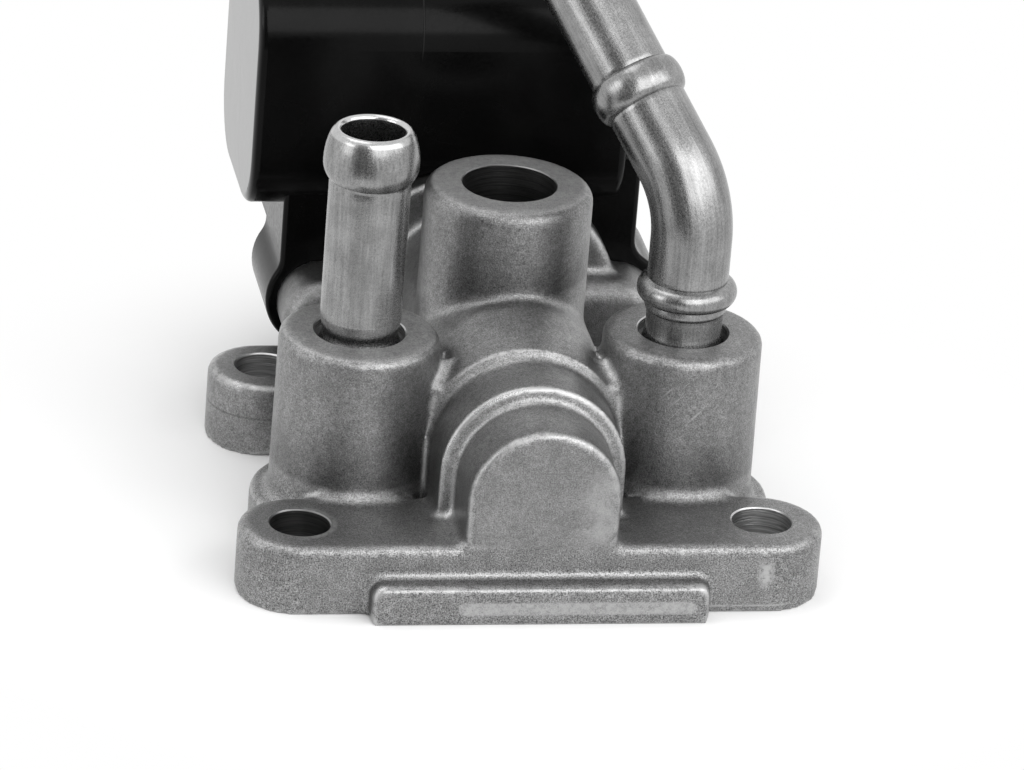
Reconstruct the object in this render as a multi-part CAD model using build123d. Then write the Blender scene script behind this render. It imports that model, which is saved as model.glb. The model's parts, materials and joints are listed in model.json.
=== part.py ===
# Idle air control valve: a coolant-heated rotary valve driven by a moulded solenoid.
# Frame: origin midway between the two front mounting holes, on the mounting face.
# +X runs along the front holes, +Y runs back to the solenoid, +Z rises from the mounting face.
import os
from math import cos, radians, sin, tan

from build123d import *

# Mounting flange
FRONT_PITCH = 53.0
REAR_PITCH = 50.2
ROW_GAP = 41.5
MOUNT_HOLE_R = 3.3
HOLE_CHAMFER = 0.45
EAR_R = 7.0
REAR_EAR_R = 6.6
FLANGE_T = 8.2
REAR_EAR_T = 8.8
FLANGE_EDGE_R = 1.0
PLATE_T = 5.5
PLATE_EDGE_R = 0.8
WEB_HALF_WIDTH = 17.0
GATE_WIDTH = 38.6
GATE_HEIGHT = 4.6
GATE_PROUD = 2.8
GATE_CORNER_R = 1.4

# Coolant bosses and their passage
COOLANT_PITCH = 37.4
COOLANT_Y = 14.6
BOSS_TOP_Z = 25.4
BOSS_TOP_R = 9.15
BOSS_FOOT_R = 9.35
BOSS_EDGE_R = 1.1
FOOT_FILLET_R = 1.6
PEDESTAL_LEDGE = 2.05
PEDESTAL_FILLET_R = 1.0
FOOT_ANGLE_DEG = 20.0
COUNTERBORE_R = 5.2
COUNTERBORE_DEPTH = 3.0
COOLANT_SLOT_R = 3.5
COOLANT_SLOT_DEPTH = 3.3

# Centre air boss and the port below it
AIR_Y = 28.8
AIR_TOP_Z = 37.5
AIR_BOSS_R = 9.75
AIR_EDGE_R = 1.5
AIR_BORE_R = 5.45
AIR_FOOT_FILLET_R = 0.8
PORT_R = 4.6

# Valve axis, nose steps and chamber
AXIS_Z = 13.5
NOSE_1_R = 8.75
NOSE_1_LENGTH = 8.3
NOSE_2_R = 10.65
NOSE_2_LENGTH = 7.6
NOSE_3_R = 11.8
NOSE_DRAFT_DEG = 1.0
NOSE_EDGE_R = 0.8
STEP_EDGE_R = 0.4
LEG_FLARE_R = 1.2
FLARE_SINK = 0.15
CROWN_R = 10.6
CROWN_TOP_Z = 27.2
RAMP_LENGTH = 8.7
GUSSET_SETBACK = 0.3
GUSSET_RISE = 7.1
GUSSET_DEPTH = 3.4
GUSSET_SLOPE_DEG = 33.0
CHAMBER_FRONT_Y = 3.0
BEARING_STEP = 0.4

# Motor flange of the casting, and the screws
REAR_EAR_GAP = 1.9
MOTOR_FLANGE_R = 17.7
MOTOR_FLANGE_T = 4.0
SCREW_PITCH = 35.3
LOBE_R = 5.2
LOBE_LENGTH = 8.0
LOBE_EDGE_R = 2.4
SCREW_R = 2.0
SCREW_GRIP = 6.5
SCREW_HEAD_R = 3.6
SCREW_HEAD_T = 2.6
SCREW_HEAD_EDGE_R = 0.65
SCREW_SOCKET_R = 1.5
SCREW_SOCKET_DEPTH = 1.7
WASHER_T = 0.8
SLEEVE_WALL = 1.1

# Coolant pipes
PIPE_R = 4.65
PIPE_BORE_R = 3.62
PIPE_TAIL_WALL = 0.48
PIPE_TAIL_DEPTH = 8.0
SHOULDER_RISE = 1.4
SHOULDER_R = 0.5
LIP_WALL = 0.45
LIP_EDGE = 0.75
LIP_SLOPE = 0.45
STRAIGHT_RISE = 24.7
END_BEAD_R = 5.45
END_BEAD_BACK = 4.1
BEND_RISE = 6.3
BEND_R = 11.4
BEND_DEG = 47.4
BEND_HEADING_DEG = 124.0
BASE_BEAD_R = 5.75
BASE_BEAD_RISE = 5.2
BASE_BEAD_HALF = 1.3
MID_BEAD_R = 5.5
MID_BEAD_RUN = 9.0
BENT_RUN = 36.0
BEAD_HALF = 2.0

# Shaft, bearings, shutter and magnet
SHAFT_R = 2.5
RUN_GAP = 0.05
SEAT_GAP = 0.02
BUSH_R = 4.5
BUSH_LENGTH = 6.0
BUSH_POCKET = 6.5
END_PLAY = 0.3
THRUST_T = 0.6
BEARING_R = 8.0
BEARING_T = 5.0
RING_WALL = 1.6
BALL_COUNT = 8
BALL_SINK = 0.3
SEAL_T = 3.0
CIRCLIP_T = 0.8
CIRCLIP_R = 3.8
CIRCLIP_GROOVE = 0.4
HUB_R = 4.0
SHUTTER_GAP = 0.15
SHUTTER_WALL = 1.4
SHUTTER_SPAN_DEG = 100.0
SHUTTER_LAP = 2.0
PIN_R = 0.8
MAGNET_GAP = 0.8
MAGNET_BORE_R = 4.2
MAGNET_HUB_LIP = 1.2
REAR_BUSH_LENGTH = 4.0

# Core and coil
COIL_DEPTH = 3.6
POLE_R = 8.0
POLE_GAP = 5.0
LEG_WIDTH = 6.0
FOOT_HEIGHT = 5.0
YOKE_HEIGHT = 9.0
POCKET_GAP = 0.1
SPOOL_WALL = 1.0
SPOOL_FLANGE = 1.0
WINDING_INSET = 0.6

# Solenoid housing and its connector
LOBE_BLACK_R = 6.4
LOBE_BLACK_T = 13.0
RIM_R = 16.5
RIM_T = 4.0
CASE_CLEARANCE = 0.85
CASE_WALL = 1.5
CASE_END_WALL = 2.0
CASE_LOW_Z = 0.4
FLANGE_RELIEF = 0.4
CAVITY_END_GAP = 1.3
NECK_LEFT = 22.6
NECK_RIGHT = 20.0
NECK_WALL = 1.2
NECK_DEPTH = 23.0
NECK_EDGE_R = 4.0
NECK_FLARE_R = 3.0
HEAD_CLEARANCE = 1.7
HOUSING_EDGE_R = 0.6
BARREL_LEFT = 27.0
BARREL_RIGHT = 17.7
BARREL_END_WALL = 2.0
BARREL_FRONT = -2.0
BARREL_DEPTH = 27.0
BARREL_WALL = 2.7
BARREL_LOW_Z = 24.2
BARREL_TOP_Z = 54.0
BARREL_CORNER_R = 8.0
BARREL_EDGE_R = 1.0
PLUG_WIDTH = 22.0
PLUG_HEIGHT = 13.0
PLUG_LENGTH = 14.0
PLUG_WALL = 1.6
PLUG_FLOOR = 2.0
PLUG_CORNER_R = 2.5
LATCH_WIDTH = 6.0
LATCH_HEIGHT = 1.6
LATCH_LENGTH = 4.0
PIN_COUNT = 3
PIN_PITCH = 4.5
PIN_WIDTH = 1.5
PIN_THICKNESS = 0.8
PIN_REACH = 7.0

# Seals
SEAL_SECTION = 1.8
SEAL_DEPTH = 1.5
SEAL_SHY = 0.1
PORT_SEAL_LAND = 1.4
SLOT_SEAL_LAND = 1.3
SEAL_SPACING = 2.0
O_RING_R = 12.0
O_RING_SECTION_R = 0.85

# Tolerance for picking edges by place
SMALL = 0.05

# Places worked out from the sizes above
FRONT_Y = -EAR_R
PEDESTAL_R = BOSS_FOOT_R + PEDESTAL_LEDGE
NOSE_1_END = FRONT_Y + NOSE_1_LENGTH
NOSE_2_END = NOSE_1_END + NOSE_2_LENGTH
CROWN_Z = CROWN_TOP_Z - CROWN_R
RAMP_END_Y = NOSE_2_END + RAMP_LENGTH
CHAMBER_R = BEARING_R - BEARING_STEP
PORT_SEAL_R = PORT_R + PORT_SEAL_LAND
SLOT_SEAL_R = COOLANT_SLOT_R + SLOT_SEAL_LAND
PORT_Y = COOLANT_Y + SLOT_SEAL_R + PORT_SEAL_R + 2 * SEAL_SECTION + SEAL_SPACING
COUNTERBORE_Z = BOSS_TOP_Z - COUNTERBORE_DEPTH
PIPE_TAIL_R = PIPE_BORE_R + PIPE_TAIL_WALL
PIPE_END_Z = COUNTERBORE_Z - PIPE_TAIL_DEPTH
STRAIGHT_TOP_Z = BOSS_TOP_Z + STRAIGHT_RISE
BASE_BEAD_Z = BOSS_TOP_Z + BASE_BEAD_RISE
BEND_START_Z = BASE_BEAD_Z + BEND_RISE
MOTOR_FACE_Y = ROW_GAP + REAR_EAR_R + REAR_EAR_GAP
POCKET_FRONT = CHAMBER_FRONT_Y - BUSH_POCKET
BEARING_Y = MOTOR_FACE_Y - BEARING_T
SEAL_Y = BEARING_Y - SEAL_T
HUB_FRONT = POCKET_FRONT + BUSH_LENGTH + THRUST_T + SHUTTER_GAP
HUB_REAR = SEAL_Y - END_PLAY
SHUTTER_FRONT = PORT_Y - PORT_R - SHUTTER_LAP
SHUTTER_REAR = PORT_Y + PORT_R + SHUTTER_LAP
BARREL_Y = MOTOR_FACE_Y + BARREL_FRONT
BARREL_END_Y = BARREL_Y + BARREL_DEPTH
CORE_MID_Y = BARREL_Y + BARREL_DEPTH / 2
CORE_T = BARREL_DEPTH - 2 * (BARREL_WALL + COIL_DEPTH + SPOOL_WALL + 2 * POCKET_GAP)
CORE_Y = CORE_MID_Y - CORE_T / 2
CORE_END_Y = CORE_MID_Y + CORE_T / 2
CAVITY_END_Y = CORE_END_Y + MAGNET_HUB_LIP + CAVITY_END_GAP
REAR_BUSH_END = CAVITY_END_Y + REAR_BUSH_LENGTH
CASE_END_Y = REAR_BUSH_END + CASE_END_WALL
LOBE_BACK_Y = MOTOR_FACE_Y + LOBE_BLACK_T
ROTOR_CASE_R = SCREW_PITCH / 2 - SCREW_HEAD_R - CASE_CLEARANCE
POLE_BACK_R = min(ROTOR_CASE_R, AXIS_Z - CASE_LOW_Z) - CASE_WALL
MAGNET_R = POLE_R - MAGNET_GAP
NECK_LOW_Z = AXIS_Z + SCREW_HEAD_R + HEAD_CLEARANCE
NECK_TOP_Z = BARREL_LOW_Z + BARREL_CORNER_R
NECK_X = (NECK_RIGHT - NECK_LEFT) / 2
NECK_WIDTH = NECK_LEFT + NECK_RIGHT
FOOT_LOW_Z = NECK_LOW_Z + NECK_WALL
FOOT_TOP_Z = FOOT_LOW_Z + FOOT_HEIGHT
YOKE_Z = (BARREL_LOW_Z + BARREL_TOP_Z) / 2
CORE_HALF_WIDTH = BARREL_RIGHT - BARREL_END_WALL
LEG_INNER = CORE_HALF_WIDTH - LEG_WIDTH
SPOOL_HALF = LEG_INNER - 2 * POCKET_GAP
SPOOL_Y = CORE_T / 2 + POCKET_GAP + SPOOL_WALL
SPOOL_Z = YOKE_HEIGHT / 2 + POCKET_GAP + SPOOL_WALL
COIL_Y = SPOOL_Y + COIL_DEPTH
COIL_Z = SPOOL_Z + COIL_DEPTH
PIN_START_Y = CORE_MID_Y + COIL_Y + POCKET_GAP
SHAFT_FRONT = POCKET_FRONT + END_PLAY
SHAFT_REAR = REAR_BUSH_END - END_PLAY


def along_y(sketch, start, end, taper=0.0):
    """Extrude a front-view sketch (X across, Z up) from one depth to another."""
    return extrude(Plane.XZ.offset(-start) * sketch, amount=end - start, dir=(0, 1, 0), taper=taper)


def y_cylinder(radius, start, end, x=0.0, z=AXIS_Z):
    """A cylinder along Y."""
    return along_y(Pos(x, z) * Circle(radius), start, end)


def y_ring(outer, inner, start, end, x=0.0, z=AXIS_Z):
    """A ring along Y."""
    return along_y(Pos(x, z) * (Circle(outer) - Circle(inner)), start, end)


def z_cylinder(radius, low, high, x=0.0, y=0.0):
    """A cylinder along Z."""
    return extrude(Pos(x, y, low) * Circle(radius), amount=high - low)


def arch(half_width, centre_z):
    """A front-view arch: a half round on legs that reach the mounting face."""
    legs = Pos(0, centre_z / 2) * Rectangle(2 * half_width, centre_z)
    return Pos(0, centre_z) * Circle(half_width) + legs


def leg_flare(half_width):
    """Front-view outline of the hollow flare where an arch stands on the flange."""
    low = FLANGE_T - FLARE_SINK
    flare = Pos(0, low + LEG_FLARE_R / 2) * Rectangle(2 * (half_width + LEG_FLARE_R), LEG_FLARE_R)
    for side in (-1, 1):
        flare -= Pos(side * (half_width + LEG_FLARE_R), low + LEG_FLARE_R) * Circle(LEG_FLARE_R)
    return flare


def hull(points, radius):
    """The outline stretched round equal circles."""
    return make_hull([(Pos(x, y) * Circle(radius)).edge() for x, y in points])


def front_rim(shape, depth):
    """The edges of a shape that lie in one plane across Y."""
    return shape.edges().filter_by_position(Axis.Y, depth, depth)


def raised_rim(shape, depth):
    """The edges of a shape in one plane across Y, without those on the mounting face."""
    return front_rim(shape, depth).filter_by(lambda edge: edge.center().Z > SMALL)


def top_rim(shape, height):
    """The edges of a shape that lie in one level plane."""
    return shape.edges().filter_by_position(Axis.Z, height, height)


def mount_points():
    """The four mounting holes, front pair first."""
    front = [(side * FRONT_PITCH / 2, 0.0) for side in (-1, 1)]
    rear = [(side * REAR_PITCH / 2, ROW_GAP) for side in (-1, 1)]
    return front, rear


def coolant_points():
    """The left and right coolant boss axes."""
    return [(side * COOLANT_PITCH / 2, COOLANT_Y) for side in (-1, 1)]


def screw_points():
    """The left and right solenoid screw axes, in front view."""
    return [(side * SCREW_PITCH / 2, AXIS_Z) for side in (-1, 1)]


def base_flange():
    """The mounting flange: a thin plate under the bosses, the thick front bar and the thick rear bar."""
    front, rear = mount_points()
    bar = extrude(hull(front, EAR_R), amount=FLANGE_T)
    bar = fillet(top_rim(bar, FLANGE_T), FLANGE_EDGE_R)
    plate = extrude(hull(coolant_points(), PEDESTAL_R), amount=PLATE_T)
    plate = fillet(top_rim(plate, PLATE_T), PLATE_EDGE_R)
    web = Pos(0, ROW_GAP / 2) * Rectangle(2 * WEB_HALF_WIDTH, ROW_GAP)
    tail = extrude(hull(rear, REAR_EAR_R), amount=REAR_EAR_T)
    tail = fillet(top_rim(tail, REAR_EAR_T), FLANGE_EDGE_R)
    return bar + plate + extrude(web, amount=PLATE_T) + tail


def gate_pad():
    """The sheared-off gate pad on the flange's front edge."""
    outline = Pos(0, GATE_HEIGHT / 2) * Rectangle(GATE_WIDTH, GATE_HEIGHT)
    outline = fillet(outline.vertices().group_by(Axis.Y)[-1], GATE_CORNER_R)
    pad = along_y(outline, FRONT_Y - GATE_PROUD, FRONT_Y + EAR_R)
    upper = raised_rim(pad, FRONT_Y - GATE_PROUD).filter_by(lambda edge: edge.center().Z > GATE_CORNER_R)
    return fillet(upper, NOSE_EDGE_R)


def coolant_boss(x, y, floor_z, flare_r):
    """A drafted boss with a rounded rim and a hollow flare where it stands on a level floor."""
    flare_z = floor_z + flare_r * cos(radians(FOOT_ANGLE_DEG))
    toe_r = BOSS_FOOT_R + flare_r
    with BuildPart() as boss:
        with BuildSketch(Plane.XZ):
            with BuildLine():
                side = Line((BOSS_FOOT_R, flare_z), (BOSS_TOP_R, BOSS_TOP_Z))
                inside = Polyline(side @ 1, (0, BOSS_TOP_Z), (0, 0), (toe_r, 0), (toe_r, flare_z - flare_r))
                RadiusArc(inside @ 1, side @ 0, flare_r)
            make_face()
        revolve(axis=Axis.Z)
        fillet(boss.edges().group_by(Axis.Z)[-1], BOSS_EDGE_R)
    return Pos(x, y, 0) * boss.part


def coolant_bosses():
    """Both bosses, flared on the thin plate all round and on the thick bar in front."""
    bar_column = extrude(hull(mount_points()[0], EAR_R - FLANGE_EDGE_R), amount=BOSS_TOP_Z)
    bosses = Part()
    for x, y in coolant_points():
        bosses += coolant_boss(x, y, PLATE_T, PEDESTAL_FILLET_R)
        bosses += coolant_boss(x, y, FLANGE_T, FOOT_FILLET_R) & bar_column
    return bosses


def nose():
    """Stepped half-round nose over the front bush and the front of the valve chamber."""
    first = along_y(arch(NOSE_1_R, AXIS_Z), FRONT_Y, NOSE_2_END, -NOSE_DRAFT_DEG)
    second = along_y(arch(NOSE_2_R, AXIS_Z), NOSE_1_END, COOLANT_Y, -NOSE_DRAFT_DEG)
    first = fillet(raised_rim(first, FRONT_Y), NOSE_EDGE_R)
    second = fillet(raised_rim(second, NOSE_1_END), STEP_EDGE_R)
    steps = fillet(raised_rim(first + second, NOSE_1_END), STEP_EDGE_R)
    steps += along_y(leg_flare(NOSE_1_R), FRONT_Y + NOSE_EDGE_R, NOSE_1_END, -NOSE_DRAFT_DEG)
    steps += along_y(leg_flare(NOSE_2_R), NOSE_1_END + STEP_EDGE_R, EAR_R - FLANGE_EDGE_R, -NOSE_DRAFT_DEG)
    return steps


def ramp():
    """The third step of the nose, which rises and narrows back to the crown."""
    foot = Plane.XZ.offset(-NOSE_2_END) * arch(NOSE_3_R, AXIS_Z)
    head = Plane.XZ.offset(-RAMP_END_Y) * arch(CROWN_R, CROWN_Z)
    rise = loft([foot.face(), head.face()], ruled=True)
    return fillet(raised_rim(rise, NOSE_2_END), STEP_EDGE_R)


def gussets():
    """The sloping webs that join the nose to the coolant bosses, as one bar through the nose."""
    front = NOSE_2_END + GUSSET_SETBACK
    back = front + GUSSET_DEPTH
    low = AXIS_Z + GUSSET_RISE
    high = low + GUSSET_DEPTH * tan(radians(GUSSET_SLOPE_DEG))
    side_view = make_face(Polyline((front, 0), (front, low), (back, high), (back, 0), close=True))
    return extrude(Plane.YZ * side_view, amount=COOLANT_PITCH / 2, both=True)


def on_air_boss(edge):
    """Whether an edge runs round the air boss, below its rim."""
    points = [edge @ share for share in (0.25, 0.5, 0.75)]
    reach = [abs(Vector(point.X, point.Y - AIR_Y, 0).length - AIR_BOSS_R) for point in points]
    return max(reach) < SMALL and max(point.Z for point in points) < AIR_TOP_Z - AIR_EDGE_R - SMALL


def crown():
    """The ridge over the valve chamber, ramped in front, with the air boss blended into it."""
    ridge = along_y(arch(CROWN_R, CROWN_Z), RAMP_END_Y, MOTOR_FACE_Y - MOTOR_FLANGE_T / 2) + ramp()
    boss = z_cylinder(AIR_BOSS_R, AXIS_Z, AIR_TOP_Z, 0, AIR_Y)
    boss = fillet(top_rim(boss, AIR_TOP_Z), AIR_EDGE_R)
    ridge += boss
    return fillet(ridge.edges().filter_by(on_air_boss), AIR_FOOT_FILLET_R)


def motor_flange():
    """Round rear flange with a cross bar that ends in two screw lobes."""
    disc = y_cylinder(MOTOR_FLANGE_R, MOTOR_FACE_Y - MOTOR_FLANGE_T, MOTOR_FACE_Y)
    disc = fillet(front_rim(disc, MOTOR_FACE_Y - MOTOR_FLANGE_T), NOSE_EDGE_R)
    lobes = along_y(hull(screw_points(), LOBE_R), MOTOR_FACE_Y - LOBE_LENGTH, MOTOR_FACE_Y)
    return disc + fillet(front_rim(lobes, MOTOR_FACE_Y - LOBE_LENGTH), LOBE_EDGE_R)


def air_bores():
    """Valve chamber, front bush pocket, bearing seat and the two air ports."""
    chamber = y_cylinder(CHAMBER_R, CHAMBER_FRONT_Y, MOTOR_FACE_Y)
    pocket = y_cylinder(BUSH_R, POCKET_FRONT, CHAMBER_FRONT_Y)
    seat = y_cylinder(BEARING_R, SEAL_Y, MOTOR_FACE_Y)
    inlet = z_cylinder(AIR_BORE_R, AXIS_Z, AIR_TOP_Z, 0, AIR_Y)
    outlet = z_cylinder(PORT_R, 0, AXIS_Z, 0, PORT_Y)
    return chamber + pocket + seat + inlet + outlet


def coolant_bores():
    """Pipe seats in both bosses and the slot across the mounting face that joins them."""
    bores = extrude(hull(coolant_points(), COOLANT_SLOT_R), amount=COOLANT_SLOT_DEPTH)
    for x, y in coolant_points():
        bores += z_cylinder(PIPE_BORE_R, 0, PIPE_END_Z, x, y)
        bores += z_cylinder(PIPE_TAIL_R, PIPE_END_Z, BOSS_TOP_Z, x, y)
        bores += z_cylinder(COUNTERBORE_R, COUNTERBORE_Z, BOSS_TOP_Z, x, y)
    return bores


def slot_seal_ring(grow):
    """Outline of the seal round the coolant slot, grown by a clearance."""
    outer = hull(coolant_points(), SLOT_SEAL_R + SEAL_SECTION + grow)
    return outer - hull(coolant_points(), SLOT_SEAL_R - grow)


def port_seal_ring(grow):
    """Outline of the seal round the air port, grown by a clearance."""
    return Pos(0, PORT_Y) * (Circle(PORT_SEAL_R + SEAL_SECTION + grow) - Circle(PORT_SEAL_R - grow))


def mount_holes():
    """The four mounting holes, with a small chamfer at the top."""
    front, rear = mount_points()
    holes = Part()
    for points, top in ((front, FLANGE_T), (rear, REAR_EAR_T)):
        for x, y in points:
            holes += z_cylinder(MOUNT_HOLE_R, 0, top, x, y)
            holes += Pos(x, y, top - HOLE_CHAMFER / 2) * Cone(
                MOUNT_HOLE_R, MOUNT_HOLE_R + HOLE_CHAMFER, HOLE_CHAMFER)
    return holes


def below_face():
    """Everything under the mounting face, to trim what the drafted shapes leave there."""
    width = FRONT_PITCH + 4 * EAR_R
    depth = MOTOR_FACE_Y + 4 * EAR_R
    return Pos(0, MOTOR_FACE_Y / 2, -MOTOR_FLANGE_R) * Box(width, depth, 2 * MOTOR_FLANGE_R)


def valve_body():
    """The casting, with every machined bore."""
    body = base_flange() + nose() + gussets() + crown() + gate_pad() + motor_flange() + coolant_bosses()
    body -= below_face()
    body -= air_bores()
    body -= coolant_bores()
    body -= mount_holes()
    body -= extrude(slot_seal_ring(SEAT_GAP), amount=SEAL_DEPTH)
    body -= extrude(port_seal_ring(SEAT_GAP), amount=SEAL_DEPTH)
    for x, z in screw_points():
        body -= y_cylinder(SCREW_R, MOTOR_FACE_Y - SCREW_GRIP, MOTOR_FACE_Y, x, z)
    return body


def bead(radius, half_length):
    """A rolled bead: a rounded swelling of revolution about Z, centred on the origin."""
    root = PIPE_R - SMALL
    with BuildPart() as swelling:
        with BuildSketch(Plane.XZ):
            with BuildLine():
                side = ThreePointArc((root, -half_length), (radius, 0), (root, half_length))
                Polyline(side @ 1, (0, half_length), (0, -half_length), side @ 0)
            make_face()
        revolve(axis=Axis.Z)
    return swelling.part


def pipe_mouth():
    """Pipe end of revolution: a bead below a rounded lip. Its mouth lies on the XY plane."""
    rim_r = PIPE_BORE_R + LIP_WALL
    with BuildPart() as mouth:
        with BuildSketch(Plane.XZ):
            with BuildLine():
                low = -2 * END_BEAD_BACK
                foot = Polyline((0, low), (PIPE_R, low), (PIPE_R, -END_BEAD_BACK - BEAD_HALF))
                swell = TangentArc(foot @ 1, (END_BEAD_R, -END_BEAD_BACK), tangent=(1, 1))
                side = Spline(swell @ 1, (rim_r + LIP_EDGE, -LIP_EDGE), tangents=((0, 1), (-LIP_SLOPE, 1)))
                lip = TangentArc(side @ 1, (rim_r, 0), tangent=(-LIP_SLOPE, 1))
                Polyline(lip @ 1, (0, 0), foot @ 0)
            make_face()
        revolve(axis=Axis.Z)
    return mouth.part


def pipe_tail(x, y, top_z):
    """The reduced end of a pipe, down in its boss, and its rounded shoulder up to the full tube."""
    shoulder = z_cylinder(PIPE_R, BOSS_TOP_Z + SHOULDER_RISE, top_z, x, y)
    shoulder = fillet(shoulder.edges().group_by(Axis.Z)[0], SHOULDER_R)
    return shoulder + z_cylinder(PIPE_TAIL_R - SEAT_GAP, PIPE_END_Z, top_z, x, y)


def coolant_inlet_pipe():
    """The short straight pipe in the left boss."""
    x, y = coolant_points()[0]
    pipe = pipe_tail(x, y, STRAIGHT_TOP_Z - END_BEAD_BACK) + Pos(x, y, STRAIGHT_TOP_Z) * pipe_mouth()
    return pipe - z_cylinder(PIPE_BORE_R, PIPE_END_Z, STRAIGHT_TOP_Z, x, y)


def bend_path(x, y):
    """Centre line of the bent pipe above its bend start, as an arc and a straight run."""
    heading = Vector(cos(radians(BEND_HEADING_DEG)), sin(radians(BEND_HEADING_DEG)), 0)
    turn = radians(BEND_DEG)
    start = Vector(x, y, BEND_START_Z)
    middle = start + heading * (BEND_R * (1 - cos(turn / 2))) + Vector(0, 0, BEND_R * sin(turn / 2))
    end = start + heading * (BEND_R * (1 - cos(turn))) + Vector(0, 0, BEND_R * sin(turn))
    direction = heading * sin(turn) + Vector(0, 0, cos(turn))
    return start, middle, end, direction


def bent_tube(radius, x, y, low_z):
    """A round bar along the bent pipe's centre line."""
    start, middle, end, direction = bend_path(x, y)
    foot = Vector(x, y, low_z)
    path = Line(foot, start) + ThreePointArc(start, middle, end) + Line(end, end + direction * BENT_RUN)
    return sweep(Pos(x, y, low_z) * Circle(radius), path=path)


def coolant_outlet_pipe():
    """The bent pipe in the right boss, with beads at its base, past the bend and at its mouth."""
    x, y = coolant_points()[1]
    _, _, end, direction = bend_path(x, y)
    tip = end + direction * BENT_RUN
    pipe = bent_tube(PIPE_R, x, y, BASE_BEAD_Z) + pipe_tail(x, y, BASE_BEAD_Z)
    pipe += Pos(x, y, BASE_BEAD_Z) * bead(BASE_BEAD_R, BASE_BEAD_HALF)
    pipe += Plane(end + direction * MID_BEAD_RUN, z_dir=direction) * bead(MID_BEAD_R, BEAD_HALF)
    pipe += Plane(tip, z_dir=direction) * pipe_mouth()
    pipe -= bent_tube(PIPE_BORE_R, x, y, PIPE_END_Z)
    return pipe


def rotor_shaft():
    """Stepped only by the groove of its retaining ring."""
    groove = y_ring(SHAFT_R, SHAFT_R - CIRCLIP_GROOVE, MOTOR_FACE_Y, MOTOR_FACE_Y + CIRCLIP_T)
    shaft = y_cylinder(SHAFT_R, SHAFT_FRONT, SHAFT_REAR) - groove
    return shaft - rotor_pin_bar(PIN_R)


def rotor_pin_bar(radius):
    """A cross bar through the shutter's hub and the shaft, ahead of the shutter."""
    depth = (HUB_FRONT + SHUTTER_FRONT) / 2
    return z_cylinder(radius, AXIS_Z - HUB_R, AXIS_Z + HUB_R, 0, depth)


def rotor_pin():
    """The pin that locks the shutter to the shaft."""
    return rotor_pin_bar(PIN_R - SEAT_GAP)


def sector(outer, inner, span_deg, middle_deg):
    """A front-view ring sector about the valve axis."""
    half = radians(span_deg / 2)
    middle = radians(middle_deg)
    reach = 2 * outer
    wedge = Polygon((0, 0), (reach * cos(middle - half), reach * sin(middle - half)),
                    (reach * cos(middle), reach * sin(middle)),
                    (reach * cos(middle + half), reach * sin(middle + half)), align=None)
    return Pos(0, AXIS_Z) * ((Circle(outer) - Circle(inner)) & wedge)


def valve_rotor():
    """Hub with a curved shutter on two side webs. At rest its edge crosses the middle of the air port."""
    outer = CHAMBER_R - SHUTTER_GAP
    rest_deg = SHUTTER_SPAN_DEG / 2 - 90
    blade = sector(outer, outer - SHUTTER_WALL, SHUTTER_SPAN_DEG, rest_deg)
    web = sector(outer, HUB_R - SHUTTER_GAP, SHUTTER_SPAN_DEG, rest_deg)
    rotor = y_ring(HUB_R, SHAFT_R + SEAT_GAP, HUB_FRONT, HUB_REAR)
    rotor += along_y(blade, SHUTTER_FRONT, SHUTTER_REAR)
    for start in (SHUTTER_FRONT, SHUTTER_REAR - SHUTTER_WALL):
        rotor += along_y(web, start, start + SHUTTER_WALL)
    return rotor - rotor_pin_bar(PIN_R)


def front_bush():
    """Plain bush in the nose."""
    return y_ring(BUSH_R - SEAT_GAP, SHAFT_R + RUN_GAP, POCKET_FRONT, POCKET_FRONT + BUSH_LENGTH)


def rear_bush():
    """Plain bush in the end of the rotor case."""
    return y_ring(BUSH_R - SEAT_GAP, SHAFT_R + RUN_GAP, CAVITY_END_Y, REAR_BUSH_END)


def thrust_washer():
    """Washer between the front bush and the shutter's hub."""
    start = POCKET_FRONT + BUSH_LENGTH
    return y_ring(HUB_R, SHAFT_R + RUN_GAP, start, start + THRUST_T)


def shaft_seal():
    """Rubber seal that keeps the air chamber apart from the solenoid."""
    return y_ring(BEARING_R - SEAT_GAP, SHAFT_R + RUN_GAP, SEAL_Y, BEARING_Y)


def ball_track():
    """Radius of the ball circle and of one ball."""
    inner = SHAFT_R + RING_WALL
    outer = BEARING_R - RING_WALL
    return (inner + outer) / 2, (outer - inner) / 2 + BALL_SINK


def bearing_groove():
    """The ball groove, as a ring to cut from both races."""
    track, ball = ball_track()
    return Pos(0, BEARING_Y + BEARING_T / 2, AXIS_Z) * Rot(90, 0, 0) * Torus(track, ball + RUN_GAP)


def bearing_outer_ring():
    """Outer race, seated in the casting."""
    return y_ring(BEARING_R - SEAT_GAP, BEARING_R - RING_WALL, BEARING_Y, MOTOR_FACE_Y) - bearing_groove()


def bearing_inner_ring():
    """Inner race, seated on the shaft."""
    return y_ring(SHAFT_R + RING_WALL, SHAFT_R + SEAT_GAP, BEARING_Y, MOTOR_FACE_Y) - bearing_groove()


def bearing_balls():
    """The ring of balls."""
    track, ball = ball_track()
    turns = [360 * index / BALL_COUNT for index in range(BALL_COUNT)]
    centre = Pos(0, BEARING_Y + BEARING_T / 2, AXIS_Z)
    return Compound([centre * Rot(0, turn, 0) * Pos(track, 0, 0) * Sphere(ball) for turn in turns])


def retaining_ring():
    """Open ring in the shaft's groove, behind the bearing."""
    ring = y_ring(CIRCLIP_R, SHAFT_R - CIRCLIP_GROOVE + SEAT_GAP, MOTOR_FACE_Y, MOTOR_FACE_Y + CIRCLIP_T)
    mouth = Box(SHAFT_R, CIRCLIP_T, 2 * CIRCLIP_R)
    return ring - Pos(0, MOTOR_FACE_Y + CIRCLIP_T / 2, AXIS_Z - CIRCLIP_R) * mouth


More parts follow.
